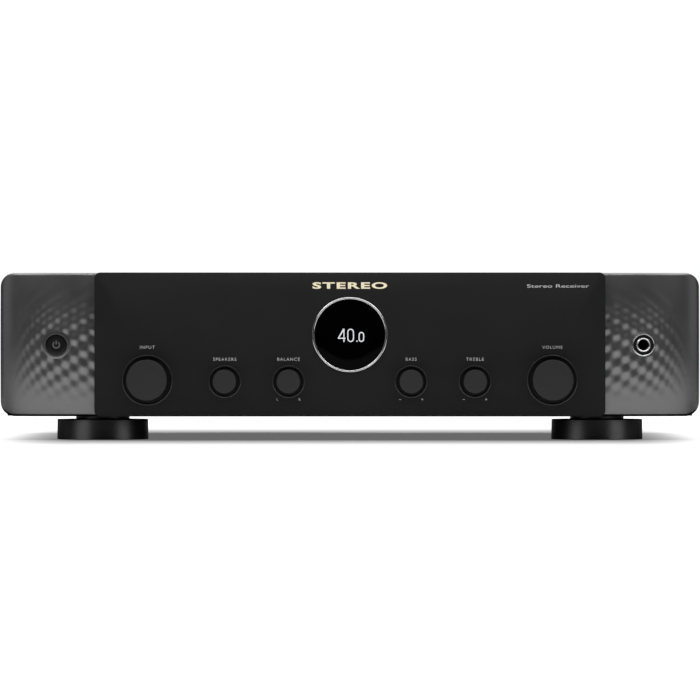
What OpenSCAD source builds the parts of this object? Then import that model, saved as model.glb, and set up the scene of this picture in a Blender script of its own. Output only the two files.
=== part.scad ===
// Slim stereo receiver: a steel cabinet behind a moulded front with a proud centre plate,
// two curved wings, a round display and six turning knobs. Front is -Y, up is +Z, and the
// origin is on the floor under the middle of the whole object. Millimetres.

/* [Cabinet] */
// Width across the two wings
body_w = 442; // [436:1:448]
// Height from the floor to the top of the front
body_top = 105.5; // [104:0.5:108]
// Gap between the floor and the cabinet's underside
foot_gap = 15; // [14:0.5:16]
// Depth from the plate's face to the rear panel's face
body_d = 340; // [336:1:350]
// Thickness of the folded steel sheet
sheet_t = 1.2; // [1:0.1:1.4]

/* [Front] */
// Width of the centre plate
plate_w = 321; // [316:1:326]
// Thickness of the centre plate
plate_t = 6; // [5.5:0.5:6.5]
// Corner radius of the centre plate
plate_r = 4; // [2:0.5:6]
// Corner radius of the outer corners, seen from the front
corner_r = 9; // [7:0.5:11]
// Step back from the plate's face to the wings
wing_step = 8; // [7.5:0.5:9]
// How far the wing curves back at its outer edge
wing_sweep = 22; // [18:1:24]

/* [Controls] */
// How far the two large knobs stand out of the plate
big_reach = 17; // [15:0.5:20]
// How far the four small knobs stand out of the plate
small_reach = 14; // [11:0.5:15]
// Radius of the large knobs
big_r = 12.95; // [12:0.05:13.5]
// Radius of the small knobs
small_r = 7.65; // [7:0.05:8]
// Centreline radius of the bright ring round the display
bezel_r = 23; // [22:0.5:24]
// Inward travel of the power button
button_travel = 1.2; // [0.8:0.1:1.4]

/* [Feet] */
// Radius of a foot
foot_r = 29; // [26:0.5:30]
// Distance of the front feet from the middle
front_foot_x = 157; // [150:1:165]
// Distance of the rear feet from the middle
rear_foot_x = 165; // [155:1:170]
// Height of the front feet's discs
front_disc_h = 12.9; // [12:0.1:13.2]
// Height of the rear feet's discs, which stand on longer necks
rear_disc_h = 9.9; // [9:0.1:12.9]

/* [Rear] */
// How far the speaker terminals stand out of the rear panel
post_reach = 27; // [26:0.5:29]
// Length of an aerial rod from its pivot
rod_l = 142; // [120:1:150]

/* [Hidden] */
$fn = 48;

// ---- places along Y, front to back
total_d = big_reach + body_d + post_reach;
face_y = -total_d / 2 + big_reach;
plate_back = face_y + plate_t;
wing_y = face_y + wing_step;
wing_back = face_y + 45;
web_t = 2.4;
frame_back = wing_back + web_t;
seam = 0.3;
rear_y = face_y + body_d;
panel_in = rear_y - sheet_t;
board_y = face_y + 22;
board_t = 1.6;

// ---- heights and half widths
half_w = body_w / 2;
body_h = body_top - foot_gap;
mid_z = foot_gap + body_h / 2;
cover_top = body_top - 1;
cover_x = half_w - 2.5;
cover_t = 1;
floor_z = foot_gap + sheet_t;
wing_in = plate_w / 2 - 2.7;
wing_t = 2.5;
wing_flat = 3.2;
wing_power = 2.5;
wing_steps = 15;

// ---- front controls
big_x = 127.2;
big_z = 37.8;
small_x = [38.5, 78.6];
small_z = 36.9;
small_well_r = 9.4;
big_well_r = 15.1;
well_d = 2.5;
well_lip = 0.6;
shaft_r = 3;
bushing_r = 4.4;
run = 0.05;
display_z = 66.4;
bezel_w = 1.8;
lens_r = bezel_r - bezel_w / 2 - 0.2;
side_x = 184.8;
side_z = 60;
seat_y = wing_y + 0.3;
button_r = 6.4;
seat_r = 7.2;
jack_r = 3.25;
jack_sleeve_r = 4.5;
jack_l = 30;

// name, x, z, knob radius, reach, well radius
KNOBS = [
    ["input", -big_x, big_z, big_r, big_reach, big_well_r],
    ["speakers", -small_x[1], small_z, small_r, small_reach, small_well_r],
    ["balance", -small_x[0], small_z, small_r, small_reach, small_well_r],
    ["bass", small_x[0], small_z, small_r, small_reach, small_well_r],
    ["treble", small_x[1], small_z, small_r, small_reach, small_well_r],
    ["volume", big_x, big_z, big_r, big_reach, big_well_r]
];

// ---- feet
front_foot_y = face_y + 52;
rear_foot_y = face_y + 285;

// x, y, disc height
FEET = [
    [-front_foot_x, front_foot_y, front_disc_h], [front_foot_x, front_foot_y, front_disc_h],
    [-rear_foot_x, rear_foot_y, rear_disc_h], [rear_foot_x, rear_foot_y, rear_disc_h]
];

// ---- rear connectors
amp_z = 24;
deck_z = 74;
rca_z = [52, 32];
rca_x = [190, 170, 150, 130, 104, 84, 60];
coax = [166, deck_z + 8];
mini_x = 38;
tuner = [190, deck_z + 8];
thread_r = 4.75;
nut_t = 1.5;
hdmi_x = [for (i = [0 : 6]) 66 - 23 * i];
hdmi_z = deck_z + 3;
lan = [120, deck_z + 6.7];
usb = [96, deck_z + 3.6];
optical = [143, deck_z + 4.9];
inlet = [-185, 42];
post_x = [-22, -46, -74, -98];
post_z = [58, 32];
post_r = 3.5;
banana_r = 2.05;
cap_r = 8.5;
cap_gap = 6;
aerial_x = 203;
aerial_z = 94.5;
pivot_y = rear_y + 16;
aerial_r = 4.5;
ear_t = 2;
tongue_half = 2.35;

// name, x, z of each speaker terminal cap, as seen from the front
CAPS = [
    for (row = [0, 1])
        for (column = [0 : 3])
            [
                str(row == 0 ? "a" : "b", column < 2 ? "_right" : "_left",
                    column % 2 == 0 ? "_plus" : "_minus"),
                post_x[column], post_z[row]
            ]
];

// name, side (-1 left, 1 right)
AERIALS = [["left", -1], ["right", 1]];

// ---- screws: side and rear screws of the cover, and screws of the rear panel
side_screw_y = [face_y + 70, face_y + 190, face_y + 310];
side_screw_z = 24;
REAR_SCREWS = [
    [-150, 97], [0, 97], [150, 97], [-128, 20], [14, 20], [208, 20],
    [inlet[0] - 20, inlet[1]], [inlet[0] + 20, inlet[1]]
];
screw_r = 1.5;
screw_head_r = 3;
screw_head_h = 1.6;
screw_l = 5;

// ---- colours
black = [0.05, 0.05, 0.055];
plate_black = [0.07, 0.07, 0.07];
wing_grey = [0.16, 0.16, 0.16];
knob_grey = [0.12, 0.12, 0.12];
steel = [0.62, 0.63, 0.65];
bright = [0.85, 0.85, 0.86];
copper = [0.72, 0.42, 0.2];
board_green = [0.05, 0.25, 0.12];
gold = [0.8, 0.66, 0.3];
terminal_red = [0.7, 0.08, 0.06];

// ==== helpers ====

// Box given by its bounds along X, Y and Z
module slab(x, y, z) {
    translate([x[0], y[0], z[0]]) cube([x[1] - x[0], y[1] - y[0], z[1] - z[0]]);
}

// Cylinder along +Y between two Y values
module y_rod(r, y, x = 0, z = 0) {
    translate([x, y[0], z]) rotate([-90, 0, 0]) cylinder(r = r, h = y[1] - y[0]);
}

// Cone along +Y between two Y values
module y_cone(r0, r1, y, x = 0, z = 0) {
    translate([x, y[0], z]) rotate([-90, 0, 0]) cylinder(r1 = r0, r2 = r1, h = y[1] - y[0]);
}

// Cylinder along +Z between two heights
module z_rod(r, z, x = 0, y = 0) {
    translate([x, y, z[0]]) cylinder(r = r, h = z[1] - z[0]);
}

// Extrudes an XZ outline along Y
module y_prism(y) {
    translate([0, y[1], 0]) rotate([90, 0, 0]) linear_extrude(y[1] - y[0]) children();
}

// Extrudes an XY outline along Z
module z_prism(z) {
    translate([0, 0, z[0]]) linear_extrude(z[1] - z[0]) children();
}

// Rectangle with true round corners, centred on c
module round_rect(size, r, c = [0, 0]) {
    translate(c) {
        square([size[0] - 2 * r, size[1]], center = true);
        square([size[0], size[1] - 2 * r], center = true);
        for (x = [-1, 1], z = [-1, 1])
            translate([x * (size[0] / 2 - r), z * (size[1] / 2 - r)]) circle(r = r);
    }
}

// Slot with round ends, long way along Y
module slot(length, width, c) {
    translate(c) {
        square([width, length - width], center = true);
        for (s = [-1, 1]) translate([0, s * (length - width) / 2]) circle(r = width / 2, $fn = 24);
    }
}

// ==== front ====

// Setback of the wing's face at a share t of its curved width
function setback(t, sweep) = sweep * (1 - pow(1 - pow(t, wing_power), 1 / wing_power));

// Plan outline of one wing, moved inwards by inset
module wing_plan(inset, back) {
    x0 = wing_in + wing_flat;
    reach = half_w - inset - x0;
    sweep = wing_sweep - inset / 2;
    curve = [
        for (i = [0 : wing_steps])
            let (t = sin(90 * i / wing_steps))
            [x0 + reach * t, wing_y + inset + setback(t, sweep)]
    ];
    polygon(concat([[wing_in + inset, back], [wing_in + inset, wing_y + inset]], curve,
                   [[half_w - inset, back]]));
}

// A curved shell, open at the back, with a seat for its button or socket
module wing(side) {
    color(wing_grey)
    scale_side(side)
    difference() {
        intersection() {
            y_prism([wing_y - 1, wing_back])
                round_rect([body_w, body_h], corner_r, [0, mid_z]);
            z_prism([foot_gap - 1, body_top + 1]) wing_plan(0, wing_back);
        }
        intersection() {
            y_prism([wing_y, wing_back + 1])
                round_rect([body_w - 2 * wing_t, body_h - 2 * wing_t], corner_r - wing_t,
                           [0, mid_z]);
            z_prism([foot_gap, body_top]) wing_plan(wing_t, wing_back + 2);
        }
        y_rod(seat_r, [wing_y - 2, wing_y + 12], side_x, side_z);
    }
}

// Mirrors a part built on the +X side to the side asked for
module scale_side(side) {
    if (side > 0) children();
    else mirror([1, 0, 0]) children();
}

module center_plate() {
    color(plate_black)
    difference() {
        y_prism([face_y, plate_back]) round_rect([plate_w, body_h], plate_r, [0, mid_z]);
        y_rod(bezel_r + 0.2, [face_y - 1, plate_back + 1], 0, display_z);
        for (k = KNOBS) {
            y_rod(k[5], [face_y - 1, face_y + well_d], k[1], k[2]);
            y_cone(k[5] + well_lip, k[5], [face_y, face_y + well_lip], k[1], k[2]);
            y_rod(bushing_r + 0.2, [face_y, plate_back + 1], k[1], k[2]);
        }
    }
}

// Inner moulding that carries the plate, the wings and the boards
module front_frame() {
    x = wing_in - 0.2;
    web = [plate_back, plate_back + 3];
    color(black)
    difference() {
        union() {
            slab([-x, x], web, [foot_gap, body_top]);
            slab([-x, x], [plate_back, wing_back], [body_top - 2.5, body_top]);
            slab([-x, x], [plate_back, wing_back], [foot_gap, foot_gap + 2.5]);
            slab([-half_w + 4, half_w - 4], [wing_back, frame_back],
                 [foot_gap, cover_top - cover_t - 0.2]);
            for (s = [-1, 1])
                slab([s * (x - 2) - 2, s * (x - 2) + 2], [plate_back, wing_back + 1],
                     [foot_gap, body_top - 2]);
        }
        slab([-29, 29], [plate_back - 1, plate_back + 4], [display_z - 20, display_z + 20]);
        for (k = KNOBS) y_rod(bushing_r + 0.1, [plate_back - 1, plate_back + 4], k[1], k[2]);
        for (w = [[-140, -50], [50, 140], [-40, 40]])
            slab(w, [wing_back - 1, frame_back + 1], [foot_gap + 12, body_top - 8]);
        for (s = [-1, 1])
            y_rod(8, [wing_back - 1, frame_back + 1], s * side_x, side_z);
    }
}

// Bright ring with a sleeve through the plate and a shoulder for the window
module display_bezel() {
    color(bright)
    difference() {
        union() {
            y_rod(bezel_r + bezel_w / 2, [face_y - 1.2, face_y], 0, display_z);
            y_rod(bezel_r + 0.15, [face_y - 0.1, plate_back - 0.1], 0, display_z);
        }
        y_rod(bezel_r - bezel_w / 2, [face_y - 2, face_y + 2], 0, display_z);
        y_rod(bezel_r - bezel_w / 2 - 1.6, [face_y, face_y + 7], 0, display_z);
    }
}

module display_lens() {
    color([0.02, 0.02, 0.025])
    y_rod(lens_r + 0.15, [face_y - 0.4, face_y + 2], 0, display_z);
}

// Display panel with its board screwed to the back of the frame, and the driver chip
module display_module() {
    y = [plate_back + 0.2, plate_back + 3, plate_back + 3 + board_t];
    color([0.03, 0.03, 0.03]) {
        slab([-25, 25], [y[0], y[1] + 0.1], [display_z - 19, display_z + 19]);
        slab([-34, 34], [y[1], y[2]], [display_z - 24, display_z + 24]);
        slab([-6, 6], [y[2] - 0.1, y[2] + 1.6], [display_z - 5, display_z + 7]);
    }
}

// Board behind the plate that carries the encoders
module front_board() {
    color(board_green) {
        difference() {
            slab([-150, 150], [board_y, board_y + board_t], [20, 62]);
            for (x = [-100, 0, 100])
                y_rod(1.6, [board_y - 1, board_y + 2], x, 24);
        }
        slab([-30, 30], [board_y + board_t, board_y + 8], [48, 54]);
        for (x = [-110, -60, 60, 110])
            slab([x - 5, x + 5], [board_y + board_t, board_y + 4], [30, 38]);
    }
}

// Rotary encoders: threaded bushing, body and shaft seat
module encoder_bodies() {
    color(steel)
    for (k = KNOBS)
        difference() {
            union() {
                y_rod(bushing_r, [face_y + well_d - 1.2, board_y - 7], k[1], k[2]);
                slab([k[1] - 6.5, k[1] + 6.5], [board_y - 7, board_y],
                     [k[2] - 6.5, k[2] + 6.5]);
            }
            y_rod(shaft_r + run, [face_y, board_y - 2], k[1], k[2]);
        }
}

// Turned knob with a chamfered face and a hollow back
module knob(k) {
    front = face_y - k[4];
    back = face_y + well_d - 1.6;
    bevel = 0.5;
    color(knob_grey)
    difference() {
        union() {
            y_rod(k[3], [front + bevel, back], k[1], k[2]);
            y_cone(k[3] - bevel, k[3], [front, front + bevel], k[1], k[2]);
        }
        difference() {
            y_rod(k[3] - 1.6, [front + 3, back + 1], k[1], k[2]);
            y_rod(shaft_r + 2, [front + 2, back - 2], k[1], k[2]);
        }
        y_rod(shaft_r + 0.02, [front + 4, back + 1], k[1], k[2]);
    }
}

// Encoder shaft, pressed into the knob's hub
module knob_shaft(k) {
    front = face_y - k[4] + 4.2;
    color(steel)
    y_rod(shaft_r, [front, board_y - 2.5], k[1], k[2]);
}

// ==== side controls ====

module power_bezel() {
    color(black)
    difference() {
        union() {
            y_rod(seat_r - 0.05, [seat_y - 0.4, seat_y + 6], -side_x, side_z);
            y_rod(seat_r + 0.5, [seat_y - 0.8, seat_y], -side_x, side_z);
        }
        y_rod(button_r + 0.15, [seat_y - 1, seat_y + 7], -side_x, side_z);
        y_cone(button_r + 0.75, button_r + 0.15, [seat_y - 0.8, seat_y], -side_x, side_z);
    }
}

// Button cap, the flange that stops it behind the bezel, and its stem
module power_button() {
    color([0.03, 0.03, 0.03]) {
        y_rod(button_r, [seat_y, seat_y + 6.3], -side_x, side_z);
        y_rod(seat_r - 0.2, [seat_y + 6.2, seat_y + 7.4], -side_x, side_z);
        y_rod(2.2, [seat_y + 7.3, seat_y + 14], -side_x, side_z);
    }
}

// Sprung switch on its small board, with two posts to the frame
module power_switch() {
    y0 = seat_y + 14 + button_travel + 0.2;
    color(board_green) {
        slab([-side_x - 4, -side_x + 4], [y0, y0 + 5.1], [side_z - 4, side_z + 4]);
        slab([-side_x - 14, -side_x + 14], [y0 + 5, y0 + 5 + board_t],
             [side_z - 16, side_z + 16]);
        for (z = [-13, 13])
            y_rod(2.5, [y0 + 4.9 + board_t, wing_back], -side_x, side_z + z);
    }
}

// Socket for a quarter-inch plug: sleeve, body and a board that reaches the frame
module headphone_jack() {
    front = seat_y - 0.3;
    back = front + jack_l + 3;
    color(bright)
    difference() {
        union() {
            y_rod(jack_sleeve_r, [front, front + 9.1], side_x, side_z);
            slab([side_x - 7.5, side_x + 7.5], [front + 9, back], [side_z - 7, side_z + 7]);
            slab([side_x - 9, side_x + 9], [front + 12, wing_back],
                 [side_z - 8.6, side_z - 6.9]);
        }
        y_rod(jack_r, [front - 1, front + jack_l], side_x, side_z);
    }
}

// Dished ring round the socket
module headphone_bezel() {
    color(black)
    difference() {
        union() {
            y_rod(seat_r - 0.05, [seat_y - 0.4, seat_y + 6], side_x, side_z);
            y_rod(seat_r + 0.2, [seat_y - 0.8, seat_y], side_x, side_z);
        }
        y_rod(jack_sleeve_r + 0.05, [seat_y - 1, seat_y + 7], side_x, side_z);
        y_rod(6.1, [seat_y - 1, seat_y + 0.6], side_x, side_z);
    }
}

// ==== cabinet ====

// Folded tray: floor with vents, low flanges, and bosses for the boards
module base_chassis() {
    y = [frame_back, panel_in];
    x = cover_x - cover_t;
    color(steel)
    difference() {
        union() {
            slab([-x, x], y, [foot_gap, floor_z]);
            for (s = [-1, 1])
                slab([s * (x - sheet_t / 2) - sheet_t / 2, s * (x - sheet_t / 2) + sheet_t / 2],
                     y, [foot_gap, 30]);
            slab([-210, 210], [y[0], y[0] + sheet_t], [foot_gap, 60]);
            slab([-x, x], [y[1] - sheet_t, y[1]], [foot_gap, 23]);
            for (p = BOSSES) z_rod(3.5, [floor_z - 0.1, p[2]], p[0], p[1]);
        }
        for (x = [-46 : 12 : 90], r = [0, 1])
            slab([x, x + 4], [face_y + 130 + 50 * r, face_y + 164 + 50 * r],
                 [foot_gap - 1, floor_z + 1]);
        for (f = FEET) z_rod(2.2, [foot_gap - 1, floor_z + 1], f[0], f[1]);
        for (y_screw = side_screw_y, s = [-1, 1]) side_hole(s, y_screw);
        for (p = REAR_SCREWS) y_rod(screw_r + 0.1, [panel_in - 3, rear_y], p[0], p[1]);
        slab([-40, 40], [y[0] - 1, y[0] + 3], [30, 50]);
    }
}

// Board supports: x, y, height of their tops
BOSSES = [
    [-55, face_y + 190, amp_z], [105, face_y + 190, amp_z], [-55, face_y + 268, amp_z],
    [105, face_y + 268, amp_z], [195, face_y + 285, amp_z], [-200, face_y + 160, amp_z],
    [-90, face_y + 160, amp_z], [-200, face_y + 260, amp_z], [-90, face_y + 260, amp_z]
];

// Hole for a side screw through cover and flange
module side_hole(side, y) {
    scale_side(side)
    translate([cover_x - 6, y, side_screw_z]) rotate([0, 90, 0])
        cylinder(r = screw_r + 0.1, h = 12);
}

// Folded cover: top, two sides, a rear lip inside the panel, and fields of vent slots
module top_cover() {
    color(black)
    difference() {
        union() {
            y_prism([wing_back + seam, rear_y]) cover_outline(cover_top - foot_gap - 1.8);
            slab([-180, 180], [panel_in - cover_t, panel_in], [92, cover_top - 0.5]);
        }
        z_prism([cover_top - 3, cover_top + 1]) vent_slots();
        for (y_screw = side_screw_y, s = [-1, 1]) side_hole(s, y_screw);
        for (p = REAR_SCREWS) y_rod(screw_r + 0.1, [panel_in - 3, rear_y], p[0], p[1]);
    }
}

// Upside-down U with rounded bends
module cover_outline(h) {
    bend = 3;
    z0 = cover_top - h;
    difference() {
        union() {
            translate([-cover_x, z0]) square([2 * cover_x, h - bend]);
            translate([-cover_x + bend, z0]) square([2 * (cover_x - bend), h]);
            for (s = [-1, 1])
                translate([s * (cover_x - bend), cover_top - bend]) circle(r = bend);
        }
        translate([-cover_x + cover_t, z0 - 1])
            square([2 * (cover_x - cover_t), h + 1 - cover_t]);
    }
}

// Vent slots over the transformer, the heat sink and the boards
module vent_slots() {
    for (x = [-170 : 9 : -80]) slot(34, 3.2, [x, face_y + 100]);
    for (row = [0 : 2], x = [-53 : 9 : 100]) slot(34, 3.2, [x, face_y + 110 + 44 * row]);
    for (x = [-170 : 9 : -80]) slot(34, 3.2, [x, face_y + 230]);
}

module rear_panel() {
    y = [panel_in, rear_y];
    cut = [panel_in - 1, rear_y + 1];
    color(black)
    difference() {
        slab([-cover_x + cover_t + 0.1, cover_x - cover_t - 0.1], y,
             [floor_z + 0.1, cover_top - cover_t - 0.1]);
        for (x = rca_x, z = rca_z) y_rod(5.3, cut, x, z);
        y_rod(5.3, cut, coax[0], coax[1]);
        for (z = rca_z) y_rod(3.1, cut, mini_x, z);
        y_rod(thread_r + 0.25, cut, tuner[0], tuner[1]);
        for (s = [-1, 1]) y_rod(3.3, cut, s * aerial_x, aerial_z);
        for (x = hdmi_x) slab([x - 7.9, x + 7.9], cut, [hdmi_z - 3.4, hdmi_z + 3.4]);
        slab([lan[0] - 8.2, lan[0] + 8.2], cut, [lan[1] - 7, lan[1] + 7]);
        slab([usb[0] - 7.3, usb[0] + 7.3], cut, [usb[1] - 3.9, usb[1] + 3.9]);
        slab([optical[0] - 5.2, optical[0] + 5.2], cut, [optical[1] - 5.2, optical[1] + 5.2]);
        slab([inlet[0] - 14.2, inlet[0] + 14.2], cut, [inlet[1] - 10.2, inlet[1] + 10.2]);
        slab([-107, -13], cut, [23.5, 66.5]);
        for (p = REAR_SCREWS) y_rod(screw_r + 0.1, cut, p[0], p[1]);
        for (x = [-160 : 7 : -118]) slab([x - 1.5, x + 1.5], cut, [70, 90]);
    }
}

// ==== inside ====

// Middle of the transformer
core = [-128, face_y + 95];

// Laminated E and I core standing on four feet
module transformer_core() {
    w = 86;
    h = 66;
    stack = 44;
    z0 = floor_z + 2;
    color(steel)
    translate([core[0], core[1], 0])
    difference() {
        union() {
            slab([-w / 2, w / 2], [-stack / 2, stack / 2], [z0, z0 + h]);
            slab([-w / 2 - 9, w / 2 + 9], [-stack / 2, stack / 2], [floor_z, z0]);
        }
        for (s = [-1, 1])
            slab([s * 21.5 - 7, s * 21.5 + 7], [-stack, stack], [z0 + 14, z0 + h - 14]);
        for (x = [-1, 1], y = [-1, 1])
            z_rod(2.1, [floor_z - 1, z0 + 1], x * (w / 2 + 5), y * 15);
    }
}

// Winding on the centre leg
module transformer_coil() {
    z0 = floor_z + 2;
    color(copper)
    translate([core[0], core[1], 0])
    difference() {
        slab([-28.3, 28.3], [-36, 36], [z0 + 14.2, z0 + 51.8]);
        slab([-14.6, 14.6], [-22.1, 22.1], [z0 + 14, z0 + 52]);
    }
}

// Rear face of the heat sink
sink_y = face_y + 176;

// Extruded heat sink, fins to the front
module heat_sink() {
    color([0.2, 0.2, 0.21]) {
        slab([-62, 112], [sink_y - 6, sink_y], [floor_z + 4, 88]);
        for (i = [0 : 17])
            slab([-62 + 10.12 * i, -60 + 10.12 * i], [sink_y - 40, sink_y - 6],
                 [floor_z + 4, 88]);
        for (x = [-62, 100]) slab([x, x + 12], [sink_y - 6, sink_y], [floor_z, floor_z + 4]);
    }
}

// Output transistors bolted to the heat sink
module power_transistors() {
    color(black)
    for (x = [-40, 0, 40, 80]) {
        slab([x - 8, x + 8], [sink_y, sink_y + 4.8], [44, 64]);
        for (pin = [-5, 0, 5])
            slab([x + pin - 0.6, x + pin + 0.6], [sink_y + 1.6, sink_y + 2.4],
                 [amp_z + board_t, 44]);
        y_rod(2.6, [sink_y + 4.8, sink_y + 6.8], x, 59);
    }
}

// Main board with relays, coils and the jack deck at the rear
module amplifier_board() {
    z = [amp_z, amp_z + board_t];
    color(board_green) {
        slab([-64, 114], [sink_y + 0.2, face_y + 296], z);
        slab([20, 208], [face_y + 276, panel_in - 1.4], z);
        for (x = [-50, -20, 10]) slab([x, x + 20], [face_y + 250, face_y + 266], [z[1], 42]);
        for (x = [60, 90]) z_rod(8, [z[1], 40], x, face_y + 255);
        for (x = [-30, 10, 50, 90]) z_rod(5, [z[1], 42], x, face_y + 205);
        for (x = [-45, 70]) slab([x, x + 14], [face_y + 222, face_y + 236], [z[1], 34]);
    }
}

// Mains and rectifier board with fuse, relay and bridge
module power_board() {
    z = [amp_z, amp_z + board_t];
    color(board_green) {
        slab([-208, -78], [face_y + 150, face_y + 275], z);
        y_rod(3, [face_y + 205, face_y + 225], -190, z[1] + 3);
        slab([-198, -172], [face_y + 262, face_y + 275], [z[1], 46]);
        slab([-204, -184], [face_y + 165, face_y + 195], [z[1], 44]);
        slab([-175, -150], [face_y + 245, face_y + 270], [z[1], 40]);
        slab([-104, -84], [face_y + 235, face_y + 265], [z[1], 36]);
    }
}

// Two large smoothing capacitors
module filter_capacitors() {
    color([0.04, 0.06, 0.16])
    for (x = [-156, -112]) z_rod(17.5, [amp_z + board_t, 74], x, face_y + 205);
}

// Video and network deck above the jacks, with its shield can
module digital_board() {
    z = [deck_z - board_t, deck_z];
    color(board_green) {
        slab([-90, 205], [face_y + 275, panel_in - 1.2], z);
        slab([-60, -20], [face_y + 284, face_y + 314], [deck_z, deck_z + 9]);
        slab([90, 140], [face_y + 280, face_y + 312], [deck_z, deck_z + 6]);
        for (x = [0, 30, 60]) slab([x, x + 14], [face_y + 290, face_y + 304],
                                   [deck_z, deck_z + 2]);
        for (x = [-84, 60, 198])
            z_rod(3, [x > 0 ? amp_z + board_t : floor_z, z[0]], x, face_y + 279);
    }
}

// Flat cables from the front boards to the decks, and the lead from the mains inlet
module wiring_looms() {
    color([0.75, 0.75, 0.78]) {
        ribbon(-20, 5, 92);
        ribbon(12, 5, 94);
    }
    color(black) {
        for (x = [-191, -179]) y_rod(3, [face_y + 275, panel_in - 20], x, 42);
    }
}

// One flat cable: up behind the front board, over the heat sink, down to the deck
module ribbon(x, half, z) {
    y = [board_y + 5, face_y + 280];
    t = 1;
    slab([x - half, x + half], [y[0], y[0] + t], [54, z]);
    slab([x - half, x + half], y, [z - t, z]);
    slab([x - half, x + half], [y[1] - t, y[1]], [deck_z, z]);
}

// ==== rear connectors ====

// Open metal shell with its contact tongue, seen from behind
module port(x, z, w, h, t, depth, tongue) {
    y = [panel_in - depth, rear_y + 0.6];
    difference() {
        slab([x - w / 2, x + w / 2], y, [z - h / 2, z + h / 2]);
        slab([x - w / 2 + t, x + w / 2 - t], [y[0] + 3, y[1] + 1],
             [z - h / 2 + t, z + h / 2 - t]);
    }
    if (tongue[0] > 0)
        slab([x - tongue[0] / 2, x + tongue[0] / 2], [y[0] + 2, rear_y - 0.6],
             [z + tongue[1] - tongue[2] / 2, z + tongue[1] + tongue[2] / 2]);
}

module hdmi_sockets() {
    color(steel)
    for (x = hdmi_x) port(x, hdmi_z, 15, 6, 0.6, 11, [11, 0, 1.2]);
}

module data_sockets() {
    color(steel) {
        port(lan[0], lan[1], 15.8, 13.4, 1.6, 18, [0, 0, 0]);
        port(usb[0], usb[1], 14.2, 7.2, 0.8, 14, [11, 1.2, 2]);
    }
    color(black)
        port(optical[0], optical[1], 9.8, 9.8, 1.6, 12, [0, 0, 0]);
}

// Aerial sockets, the tuner's screw socket and two mini jacks
module small_jacks() {
    color(gold) {
        for (s = [-1, 1]) {
            y_rod(3.1, [panel_in - 6, rear_y + 8], s * aerial_x, aerial_z);
            y_rod(5, [panel_in - 6, panel_in], s * aerial_x, aerial_z);
        }
        difference() {
            union() {
                slab([tuner[0] - 7, tuner[0] + 7], [panel_in - 14, panel_in],
                     [deck_z, deck_z + 15]);
                y_rod(thread_r, [panel_in - 1, rear_y + 10], tuner[0], tuner[1]);
                y_rod(thread_r + 1.5, [rear_y, rear_y + nut_t], tuner[0], tuner[1]);
            }
            y_rod(1.2, [rear_y, rear_y + 11], tuner[0], tuner[1]);
        }
    }
    color(black)
    difference() {
        union() {
            slab([mini_x - 6, mini_x + 6], [panel_in - 14, panel_in],
                 [amp_z + board_t, rca_z[0] + 7]);
            for (z = rca_z) y_rod(3, [panel_in - 1, rear_y + 0.8], mini_x, z);
        }
        for (z = rca_z) y_rod(1.8, [rear_y - 14, rear_y + 2], mini_x, z);
    }
}

// Phono jacks in pairs on one housing, and the single digital coaxial jack
module rca_jacks() {
    color(gold) {
        for (x = rca_x)
            difference() {
                union() {
                    slab([x - 7, x + 7], [panel_in - 12, panel_in],
                         [amp_z + board_t, rca_z[0] + 8]);
                    for (z = rca_z) rca_barrel(x, z);
                }
                for (z = rca_z) rca_hole(x, z);
            }
        difference() {
            union() {
                slab([coax[0] - 7, coax[0] + 7], [panel_in - 12, panel_in],
                     [deck_z, coax[1] + 7]);
                rca_barrel(coax[0], coax[1]);
            }
            rca_hole(coax[0], coax[1]);
        }
    }
}

module rca_barrel(x, z) {
    y_rod(5.2, [panel_in - 1, rear_y + 1.6], x, z);
    y_rod(4.15, [rear_y, rear_y + 10], x, z);
}

module rca_hole(x, z) {
    y_rod(1.65, [rear_y - 2, rear_y + 11], x, z);
    y_rod(3.1, [rear_y + 8.8, rear_y + 11], x, z);
}

// Two-pole inlet with flange and blades
module mains_inlet() {
    x = inlet[0];
    z = inlet[1];
    color(black)
    difference() {
        union() {
            y_prism([rear_y, rear_y + 2.4]) round_rect([34, 25], 3, [x, z]);
            slab([x - 14, x + 14], [panel_in - 20, rear_y + 0.1], [z - 10, z + 10]);
            for (s = [-1, 1])
                y_rod(5, [rear_y, rear_y + 2.4], x + s * 20, z);
        }
        slab([x - 12, x + 12], [rear_y - 15, rear_y + 3], [z - 7.8, z + 7.8]);
        for (s = [-1, 1])
            y_rod(screw_r + 0.1, [rear_y - 1, rear_y + 3], x + s * 20, z);
    }
    color(steel)
    for (s = [-1, 1])
        slab([x + s * 7 - 1, x + s * 7 + 1], [rear_y - 16, rear_y - 3], [z - 2, z + 2]);
}

// Insulating plate that the eight speaker terminals stand on
module terminal_base() {
    color(black)
    difference() {
        union() {
            y_prism([rear_y, rear_y + 3]) round_rect([100, 48], 3, [-60, 45]);
            slab([-106.5, -13.5], [panel_in - 6, rear_y + 0.1], [24, 66]);
        }
        for (x = post_x, z = post_z) y_rod(post_r, [panel_in - 7, rear_y + 4], x, z);
    }
}

// Threaded posts with a banana bore and a cross hole for bare wire
module terminal_posts() {
    color(gold)
    for (x = post_x, z = post_z)
        difference() {
            y_rod(post_r, [panel_in - 8, rear_y + post_reach - 1], x, z);
            y_rod(banana_r, [rear_y + post_reach - 19, rear_y + post_reach], x, z);
            z_rod(1.4, [z - 5, z + 5], x, rear_y + 5.8);
        }
}

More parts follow.
